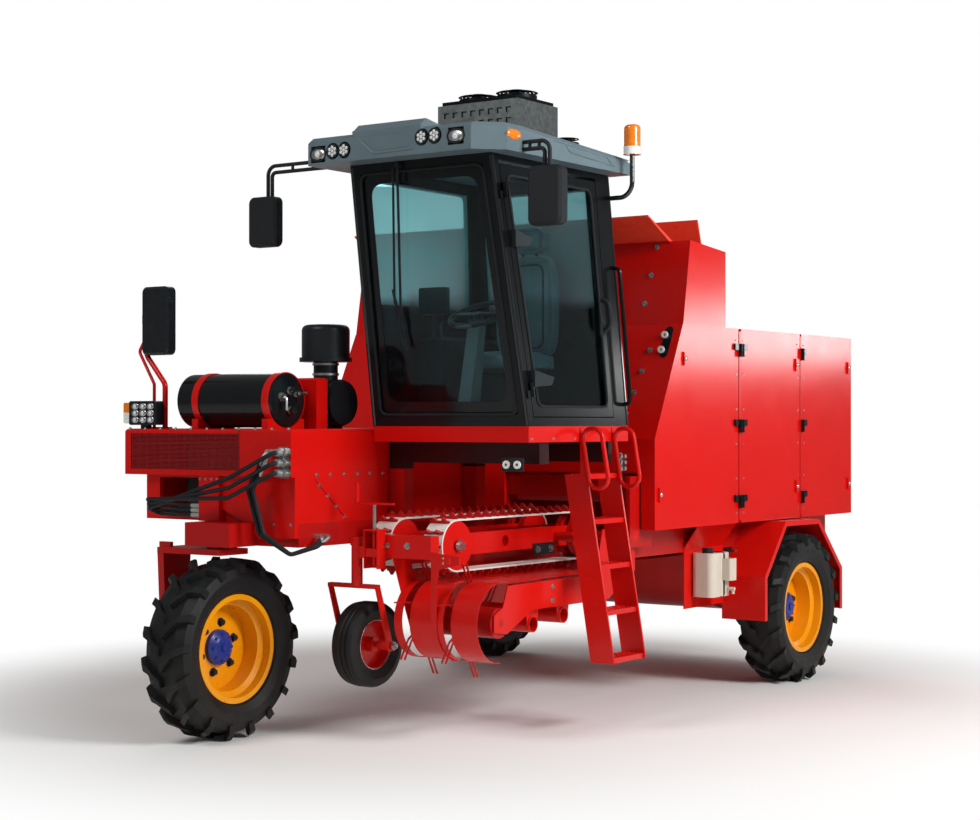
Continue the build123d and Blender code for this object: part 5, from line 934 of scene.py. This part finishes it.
# Raised edges moulded on the roof: x, z across its front, then y, z along its left side
BROW_EDGE = ((420, 3612), (500, 3540), (587, 3472), (730, 3474), (875, 3478), (900, 3550), (925, 3618))
SIDE_EDGE = ((-3180, 3560), (-3120, 3508), (-2900, 3494), (-2620, 3476))
MOULDED_R, MOULDED_BEND = 8, 20


def roof_edges():
    """Raised edges of the shallow recesses in the roof's front and left side."""
    brow = [spot("cab_roof", (x, ROOF_LAMP_Y, z), FRONT)[0] for x, z in BROW_EDGE]
    side = [spot("cab_roof", (CAB_LEFT, y, z), LEFT)[0] for y, z in SIDE_EDGE]
    edges = [bar(machine(points), MOULDED_R, MOULDED_BEND) for points in (brow, side)]
    piece("roof_recess_edges", "chassis", ROOF_PLASTIC, *edges)


# Grab bar on the rear pillar: foot and top, how far ahead of the corner, how far out, rise of its bends
GRAB_Z, GRAB_AHEAD, GRAB_OUT, GRAB_RISE = (2000, 2860), 40, 55, 10
GRAB_R, GRAB_BEND = 13, 25


def grab_bar():
    """Grab bar on the cab's left rear pillar."""
    (foot_z, top_z), ahead = GRAB_Z, GRAB_AHEAD
    (_, foot_x), (_, foot_y) = cab_corner(foot_z)
    (_, top_x), (_, top_y) = cab_corner(top_z)
    path = (
        (foot_x, foot_y - ahead, foot_z),
        (foot_x + GRAB_OUT, foot_y - ahead, foot_z + GRAB_RISE),
        (top_x + GRAB_OUT, top_y - ahead, top_z - GRAB_RISE),
        (top_x, top_y - ahead, top_z),
    )
    piece("rear_grab_bar", "chassis", CAB_PAINT, bar(path, GRAB_R, GRAB_BEND))


# Door handle, from the cab's left rear corner at a height: path and plate as out, back and z
HANDLE_Z, HANDLE_R, HANDLE_BEND = 2550, 15, 30
HANDLE_PATH = ((0, -210, 2650), (48, -205, 2630), (52, -190, 2490), (0, -195, 2450))
HANDLE_PLATE, HANDLE_PLATE_EDGE = ((-6, -235, 2430), (8, -170, 2500)), 4


def door_handle():
    """Bent handle on its plate near the rear edge of the driver's door."""
    (_, side), (_, rear) = cab_corner(HANDLE_Z)
    path = [(side + out, rear + back, z) for out, back, z in HANDLE_PATH]
    corners = [(side + out, rear + back, z) for out, back, z in HANDLE_PLATE]
    grip = bar(path, HANDLE_R, HANDLE_BEND)
    piece("door_handle", "driver_door", BLACK_PLASTIC, grip, block(*corners, HANDLE_PLATE_EDGE))


# Wedge covers over the cab door's hinges: height and depth, then their start behind and outside the corner
HINGE_COVERS = ((2148, 180), (2960, 140))
COVER_BACK, COVER_OUT, COVER_T = 84, 2, 34
# Outline of a cover: share of its depth, further back, and height from its middle
COVER_OUTLINE = ((0, 0, -52), (1, 0, -40), (1, 30, 8), (0, 0, 46))


def hinge_covers():
    """Wedge-shaped covers over the hinges of the driver's door."""
    covers = []
    for z, depth in HINGE_COVERS:
        (_, side), (front, _) = cab_corner(z)
        x, start = side + COVER_OUT, front + COVER_BACK
        wedge = [(x, start + share * depth + back, z + rise) for share, back, rise in COVER_OUTLINE]
        covers.append(plate(wedge, (COVER_T, 0, 0)))
    piece("hinge_covers", "driver_door", GREY_PLASTIC, *covers)


# Second wiper's blade and arm: ends as x and z, how far ahead of the cab's front, radius
WIPER_RODS = (
    (((500, 2690), (548, 2330)), 16, 9),
    (((610, 3400), (505, 2600)), 22, 7),
)
# Mirror glasses as low and high corner, left, right and front, and the round of their edges
MIRROR_FACES = (
    ((1524, -3614, 3030), (1722, -3611, 3330)),
    ((-557, -3674, 3010), (-359, -3671, 3285)),
    ((-1078, -4088, 2330), (-880, -4085, 2718)),
)
MIRROR_EDGE = 1
CORNER_LAMP, CORNER_LAMP_EDGE = ((1372, -2440, 3450), (1436, -2394, 3530)), 12


def cab_fittings():
    """Second wiper on the windscreen, the glasses of the mirrors and the small lamp at the roof's corner."""
    rods = []
    for ends, ahead, radius in WIPER_RODS:
        rods.append(bar([(x, cab_corner(z)[1][0] - ahead, z) for x, z in ends], radius))
    piece("wiper_blade", "chassis", SEAL_RUBBER, *rods)
    glasses = [block(low, high, MIRROR_EDGE) for low, high in MIRROR_FACES]
    piece("mirror_glasses", "chassis", MIRROR_GLASS, *glasses)
    piece("roof_corner_lamp", "chassis", EYELET_CERAMIC, block(*CORNER_LAMP, CORNER_LAMP_EDGE))


# Seat: low and high corners of its three cushions before they are rounded, and of its foot
CUSHIONS = {
    "seat_cushion": ((560, -3060, 2195), (1020, -2570, 2335)),
    "seat_back": ((570, -2680, 2300), (1010, -2540, 2945)),
    "seat_head_rest": ((660, -2640, 2960), (920, -2530, 3135)),
}
SEAT_FOOT, SEAT_FOOT_EDGE = ((640, -2960, 1866), (940, -2620, 2195)), 20
CROWN, CUSHION_CUTS = 38, 9
PIPING_R, PIPING_BEND = 6, 60
# Seam on the back rest: how far in from its outline, and how far behind its plain front
SEAM_IN, SEAM_BACK = 60, 7
# Posts of the head rest
HEAD_POST_X, HEAD_POST_Y, HEAD_POST_Z, HEAD_POST_R = (740, 840), -2585, (2900, 2990), 8


def cushion(low, high):
    """Stuffed pad: a box rounded all over, its faces crowned."""
    shape = bmesh.new()
    size = at(*high) - at(*low)
    middle = (at(*high) + at(*low)) / 2
    bmesh.ops.create_cube(shape, size=1.0)
    bmesh.ops.subdivide_edges(shape, edges=shape.edges[:], cuts=CUSHION_CUTS, use_grid_fill=True)
    for vert in shape.verts:
        unit = vert.co * 2
        full = Vector()
        for i in range(3):
            swell = (1 - unit[(i + 1) % 3] ** 4) * (1 - unit[(i + 2) % 3] ** 4)
            full[i] = unit[i] * (size[i] / 2 - CROWN * MM * (1 - swell) * abs(unit[i]) ** 3)
        vert.co = middle + full
    mesh = bpy.data.meshes.new("cushion")
    shape.to_mesh(mesh)
    shape.free()
    return mesh


def oblong(low, high, inset=0):
    """Corners of a flat oblong between two corners, drawn in all round."""
    (a, b), (c, d) = low, high
    return ((a + inset, b + inset), (c - inset, b + inset), (c - inset, d - inset), (a + inset, d - inset))


def seat():
    """Cushions with piping round their edges on a pedestal, in place of the plain seat."""
    for name, (low, high) in CUSHIONS.items():
        pad = piece(name, "chassis", SEAT_VINYL, cushion(low, high))
        if name == "seat_cushion":
            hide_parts("seat")
    (x0, y0, z0), (x1, y1, z1) = CUSHIONS["seat_cushion"]
    edge = [(x, y, (z0 + z1) / 2) for x, y in oblong((x0, y0), (x1, y1), CROWN / 2)]
    (x0, y0, z0), (x1, y1, z1) = CUSHIONS["seat_back"]
    seam = [(x, y0 + SEAM_BACK, z) for x, z in oblong((x0, z0), (x1, z1), SEAM_IN)]
    piping = [bar(loop, PIPING_R, PIPING_BEND, True) for loop in (edge, seam)]
    piece("seat_piping", "chassis", SEAT_PIPING, *piping)
    posts = [bar([(x, HEAD_POST_Y, z) for z in HEAD_POST_Z], HEAD_POST_R) for x in HEAD_POST_X]
    piece("seat_pedestal", "chassis", BLACK_PLASTIC, block(*SEAT_FOOT, SEAT_FOOT_EDGE), *posts)


# Body trim

# Thin dark gaps between panels as start and end, and their radius
PANEL_GAPS = (
    ((-200, -4230.5, 1567), (-200, -4230.5, 1848)),
    ((211, -4013, 1546), (211, -3723, 1302)),
)
GAP_R = 2.5


def panel_gaps():
    """Dark lines where the panels of the engine housing meet."""
    piece("panel_gaps", "chassis", SEAM_SHADE, *(bar(gap, GAP_R) for gap in PANEL_GAPS))


# Beads on the hinge posts: places along the box, distance from its middle, radius, foot and top
POST_Y, BEAD_X, BEAD_R, BEAD_Z = (-853, 108), 1387, 5, (1200, 2530)


def post_beads():
    """Half-round glossy beads down the hinge posts between the box doors."""
    beads = []
    for x in (BEAD_X, -BEAD_X):
        for y in POST_Y:
            beads.append(bar([(x, y, z) for z in BEAD_Z], BEAD_R))
    piece("hinge_post_beads", "chassis", BEAD_PAINT, *beads)


# Twine slot: x and z of its middle, a y near it, half its width and height, thickness, steps in a round end
SLOT_MIDDLE, SLOT_Y, SLOT_HALF = (1300, 2420), -1740, (30, 105)
SLOT_T, SLOT_STEPS = 3, 10


def stadium(middle, half_x, half_z, y):
    """Upright slot outline on a plane across the machine."""
    x, z = middle
    straight = half_z - half_x
    loop = []
    for first, end in ((0, straight), (math.pi, -straight)):
        for i in range(SLOT_STEPS + 1):
            angle = first + math.pi * i / SLOT_STEPS
            loop.append((x + half_x * math.cos(angle), y, z + end + half_x * math.sin(angle)))
    return loop


def twine_slot_painted_shade():
    """Black sheet on the sloping front of the box, painted shade in place of the twine slot's opening."""
    loop = [spot("box_shell", p, FRONT)[0] for p in stadium(SLOT_MIDDLE, *SLOT_HALF, SLOT_Y)]
    normal = spot("box_shell", (SLOT_MIDDLE[0], SLOT_Y, SLOT_MIDDLE[1]), FRONT)[1]
    # Painted shade: a thin black plate on the box's surface stands in for the dark opening of the slot
    piece("twine_slot_painted_shade", "chassis", FRIT_AND_SLOT_SHADE, plate(machine(loop), normal * SLOT_T))


# Twine eyelets: radius, hole, thickness and sides, then the pair in the slot and the pair under the cab
EYELET_R, EYELET_HOLE_R, EYELET_T, EYELET_SIDES = 24, 9, 10, 20
SLOT_EYELET_X, SLOT_EYELET_Z, EYELET_OUT = 1282, (2370, 2470), 14
FLOOR_EYELETS, EYELET_Y, EYELET_Z = (1210, 1288), CAB_FRONT + 5, 1639
EYELET_MARGIN, EYELET_PLATE_EDGE = 40, 3


def eyelets():
    """White twine eyelets in the slot and under the cab, where a black plate holds them."""
    middles = [(x, EYELET_Y, EYELET_Z) for x in FLOOR_EYELETS]
    for z in SLOT_EYELET_Z:
        point = spot("box_shell", (SLOT_EYELET_X, SLOT_Y, z), FRONT)[0]
        middles.append((SLOT_EYELET_X, (point - DATUM).y / MM - EYELET_OUT, z))
    rings = []
    for middle in middles:
        loop = around(1, middle, EYELET_R, EYELET_SIDES)
        hole = around(1, middle, EYELET_HOLE_R, EYELET_SIDES)
        rings.append(plate(loop, (0, -EYELET_T, 0), hole))
    piece("eyelets", "chassis", EYELET_CERAMIC, *rings)
    low = (FLOOR_EYELETS[0] - EYELET_MARGIN, EYELET_Y, EYELET_Z - EYELET_MARGIN)
    high = (FLOOR_EYELETS[1] + EYELET_MARGIN, EYELET_Y + EYELET_T, EYELET_Z + EYELET_MARGIN)
    piece("eyelet_plate", "chassis", BLACK_PLASTIC, block(low, high, EYELET_PLATE_EDGE))


# Locks of each door as y and z, how far out they sit, and their size
LOCKS = {
    "front_door": ((-1970, 1420), (-1640, 2310)),
    "middle_door": ((35, 1420), (35, 2310)),
    "rear_door": ((940, 1420), (940, 2310)),
}
LOCK_X, LOCK_SIZE = 1402, (34, 34, 26)


def door_locks():
    """Bright round locks on the catches of the box doors."""
    for side, facing in (("left", LEFT), ("right", RIGHT)):
        for door, places in LOCKS.items():
            locks = [(at(facing[0] * LOCK_X, y, z), facing, UP, sized(*LOCK_SIZE)) for y, z in places]
            repeats(f"{door}_{side}_locks", f"panel_{door}_{side}", PLATED_STEEL, DOME, locks)


# Ladder: heights of its treads, x and z of its top and foot, and the studs on each tread
STEP_Z = (466, 750, 1025, 1299, 1573)
LADDER_TOP, LADDER_FOOT = (1370, 1870), (1611, 433)
STUD_ROWS, STUD_Y, STUD_COUNT = (30, 65, 100, 135), (-2860, -2557), 8
STUD_SIZE = (16, 16, 8)


def steps():
    """Raised studs on the ladder's treads."""
    studs = []
    (top_x, top_z), (foot_x, foot_z) = LADDER_TOP, LADDER_FOOT
    for z in STEP_Z:
        edge = top_x + (foot_x - top_x) * (top_z - z) / (top_z - foot_z)
        for inward in STUD_ROWS:
            for place in evenly((edge - inward, STUD_Y[0], z), (edge - inward, STUD_Y[1], z), STUD_COUNT):
                studs.append((at(*place), UP, LEFT, sized(*STUD_SIZE)))
    repeats("step_studs", "chassis", RED_PAINT, DOME, studs)


# Air tank's end, the taps on it as off its middle along and up, width and length, and its bent pipes
TANK_END = (-5, -4000, 2021)
TANK_TAPS = ((-70, 20, 36, 40), (60, 40, 30, 50), (0, 60, 30, 60), (0, -60, 30, 60))
# Pipes from the middle of the tank's end: path and radius
TANK_PIPES = (
    (((0, -70, 20), (40, -70, 20), (40, -70, -60)), 9),
    (((0, 60, 40), (50, 60, 40), (90, 60, 44)), 8),
)
PIPE_BEND = 18


def tank_fittings():
    """Bright drain valves and elbows on the end of the air tank."""
    x, y, z = TANK_END
    taps = []
    for along, up, width, length in TANK_TAPS:
        taps.append((at(x, y + along, z + up), LEFT, UP, sized(width, width, length)))
    repeats("tank_taps", "chassis", PLATED_STEEL, BOLT, taps)
    pipes = []
    for path, radius in TANK_PIPES:
        pipes.append(bar([(x + out, y + along, z + up) for out, along, up in path], radius, PIPE_BEND))
    piece("tank_elbows", "chassis", PLATED_STEEL, *pipes)


# Couplers: the first one's place, rows and columns, the step from each to the next, and size
COUPLER_FIRST, COUPLER_ROWS, COUPLER_COLUMNS = Vector((1352, -2440, 1600)), 3, 2
ROW_STEP, COLUMN_STEP = Vector((0, 0, 38)), Vector((6, 34, 0))
COUPLER = (26, 26, 60)


def couplers():
    """Group of bright hydraulic couplers between the handrails."""
    places = []
    for row in range(COUPLER_ROWS):
        for column in range(COUPLER_COLUMNS):
            place = COUPLER_FIRST + row * ROW_STEP + column * COLUMN_STEP
            places.append((at(*place), LEFT, UP, sized(*COUPLER)))
    repeats("hydraulic_couplers", "chassis", PLATED_STEEL, BOLT, places)


# Clamp plate on the feeder's arm: an x inside the arm, the plate's ends, thickness and edges, and its bolts
ARM_SEARCH_X = 640
ARM_PLATE_Y, ARM_PLATE_Z = (-2620, -2380), (1042, 1118)
ARM_PLATE_T, ARM_PLATE_EDGE = 8, 3
ARM_BOLT_IN, ARM_BOLT = 45, (30, 30, 24)


def arm_plate():
    """Black clamp plate with two bolts low on the side of the feeder's outer arm."""
    (front, rear), (low, high) = ARM_PLATE_Y, ARM_PLATE_Z
    face = (spot("feeder_frame", (ARM_SEARCH_X, front, PIVOT_Z), LEFT)[0] - DATUM).x / MM
    outer = face + ARM_PLATE_T
    clamp = block((face, front, low), (outer, rear, high), ARM_PLATE_EDGE)
    piece("arm_plate", "feeder", BLACK_PLASTIC, clamp)
    heads = []
    for y in (front + ARM_BOLT_IN, rear - ARM_BOLT_IN):
        heads.append((at(outer, y, (low + high) / 2), LEFT, UP, sized(*ARM_BOLT)))
    repeats("arm_plate_bolts", "feeder", PLATED_STEEL, BOLT, heads)


# Hose ends at the corner of the engine housing, and the two nuts on each
HOSE_X, HOSE_Z = 177, (1712, 1652, 1592)
HOSE_NUT_Y, HOSE_NUT = (-4232, -4280), (42, 42, 36)


def hose_nuts():
    """Bright hexagon nuts on the hose ends at the corner of the engine housing."""
    nuts = []
    for z in HOSE_Z:
        for y in HOSE_NUT_Y:
            nuts.append((at(HOSE_X, y, z), FRONT, UP, sized(*HOSE_NUT)))
    repeats("hose_nuts", "chassis", PLATED_STEEL, BOLT, nuts)


# Band round the wash tank: low and high corner as x and z, place along the machine, radius and bend
STRAP_LOW, STRAP_HIGH, STRAP_Y = (1176, 690), (1350, 992), -1010
STRAP_R, STRAP_BEND = 6, 20


def wash_strap():
    """Dark band round the wash tank."""
    loop = [(x, STRAP_Y, z) for x, z in oblong(STRAP_LOW, STRAP_HIGH)]
    piece("wash_tank_strap", "chassis", SEAL_RUBBER, bar(loop, STRAP_R, STRAP_BEND, True))


bolts()
wheel_bolts()
grille_louvres()
fan_guards()
lamps()
window_trim()
corner_tubes()
roof_edges()
grab_bar()
door_handle()
hinge_covers()
cab_fittings()
seat()
panel_gaps()
post_beads()
twine_slot_painted_shade()
eyelets()
door_locks()
steps()
tank_fittings()
couplers()
arm_plate()
hose_nuts()
wash_strap()


# Studio

# Floor: half its width, and between which distances from the middle it fades into the backdrop, in metres
FLOOR_HALF = 60.0
FADE_NEAR, FADE_FAR = 2.6, 5.0
WORLD_LIGHT = 0.2
# Lamps: name, place, aim, width, height, watts
LAMPS = (
    ("key", (9.5, -1.0, 6.0), (0.6, 0.0, 1.6), 3.5, 3.5, 900.0),
    ("sheen", (7.8, 13.5, 3.15), (1.2, 1.4, 2.4), 3.6, 0.8, 100.0),
    ("fill", (-1.5, -10.0, 9.0), (0.0, -1.5, 1.5), 4.0, 4.0, 420.0),
    ("back", (-6.0, 7.0, 7.0), (0.0, 0.0, 2.0), 5.0, 5.0, 220.0),
)


def seen(tree):
    """1 for what the camera sees, also through glass, and 0 for light that falls on the machine."""
    path = add(tree, "ShaderNodeLightPath").outputs
    rays = {0: path["Is Camera Ray"], 1: path["Is Transmission Ray"]}
    return add(tree, "ShaderNodeMath", rays, operation="MAXIMUM").outputs[0]


def pale_floor():
    """Pale studio floor that keeps the shadow and fades into the white backdrop."""
    mesh = bpy.data.meshes.new("studio_floor")
    corners = [(x, y, 0) for x, y in oblong((-FLOOR_HALF, -FLOOR_HALF), (FLOOR_HALF, FLOOR_HALF))]
    mesh.from_pydata(corners, [], [(0, 1, 2, 3)])
    floor = bpy.data.objects.new("studio_floor", mesh)
    bpy.context.scene.collection.objects.link(floor)
    material, tree, shader, place = surface("pale_studio_floor", Roughness=0.9, Specular_IOR_Level=0.1)
    shader.inputs["Base Color"].default_value = linear(FLOOR_PALE)
    output = next(n for n in tree.nodes if n.type == "OUTPUT_MATERIAL")
    glow = add(tree, "ShaderNodeEmission", {"Color": linear(WHITE), "Strength": 1.0})
    away = add(tree, "ShaderNodeVectorMath", {0: place}, operation="LENGTH").outputs["Value"]
    reach = {"Value": away, "From Min": FADE_NEAR, "From Max": FADE_FAR}
    fade = add(tree, "ShaderNodeMapRange", reach, interpolation_type="SMOOTHSTEP")
    share = add(tree, "ShaderNodeMath", {0: fade.outputs[0], 1: seen(tree)}, operation="MULTIPLY")
    both = add(tree, "ShaderNodeMixShader", {0: share.outputs[0], 1: shader.outputs[0], 2: glow.outputs[0]})
    tree.links.new(both.outputs[0], output.inputs["Surface"])
    mesh.materials.append(material)


def white_world():
    """Soft even light, seen as plain white."""
    world = bpy.data.worlds.new("studio_world")
    bpy.context.scene.world = world
    world.use_nodes = True
    tree = world.node_tree
    tree.nodes.clear()
    strength = add(tree, "ShaderNodeMapRange", {"Value": seen(tree), "To Min": WORLD_LIGHT, "To Max": 1.0})
    sky = add(tree, "ShaderNodeBackground", {"Color": linear(WHITE), "Strength": strength.outputs[0]})
    add(tree, "ShaderNodeOutputWorld", {"Surface": sky.outputs[0]})


def studio_lamps():
    """Large soft lamps round the machine."""
    for name, place, aim, width, height, watts in LAMPS:
        light = bpy.data.lights.new(f"{name}_lamp", "AREA")
        light.shape = "RECTANGLE"
        light.size = width
        light.size_y = height
        light.energy = watts
        lamp = bpy.data.objects.new(f"{name}_lamp", light)
        lamp.location = place
        lamp.rotation_euler = (Vector(aim) - Vector(place)).to_track_quat("-Z", "Y").to_euler()
        bpy.context.scene.collection.objects.link(lamp)


def photo_camera():
    """Camera at the photograph's place and angle."""
    data = bpy.data.cameras.new("photo_camera")
    data.sensor_width = CAMERA_SENSOR
    data.lens = CAMERA_LENS
    camera = bpy.data.objects.new("photo_camera", data)
    camera.location = CAMERA_PLACE
    camera.rotation_euler = (math.radians(90 + CAMERA_RISE), 0.0, math.radians(CAMERA_TURN))
    bpy.context.scene.collection.objects.link(camera)
    bpy.context.scene.camera = camera


pale_floor()
white_world()
studio_lamps()
photo_camera()
bpy.context.scene.view_settings.view_transform = "Standard"
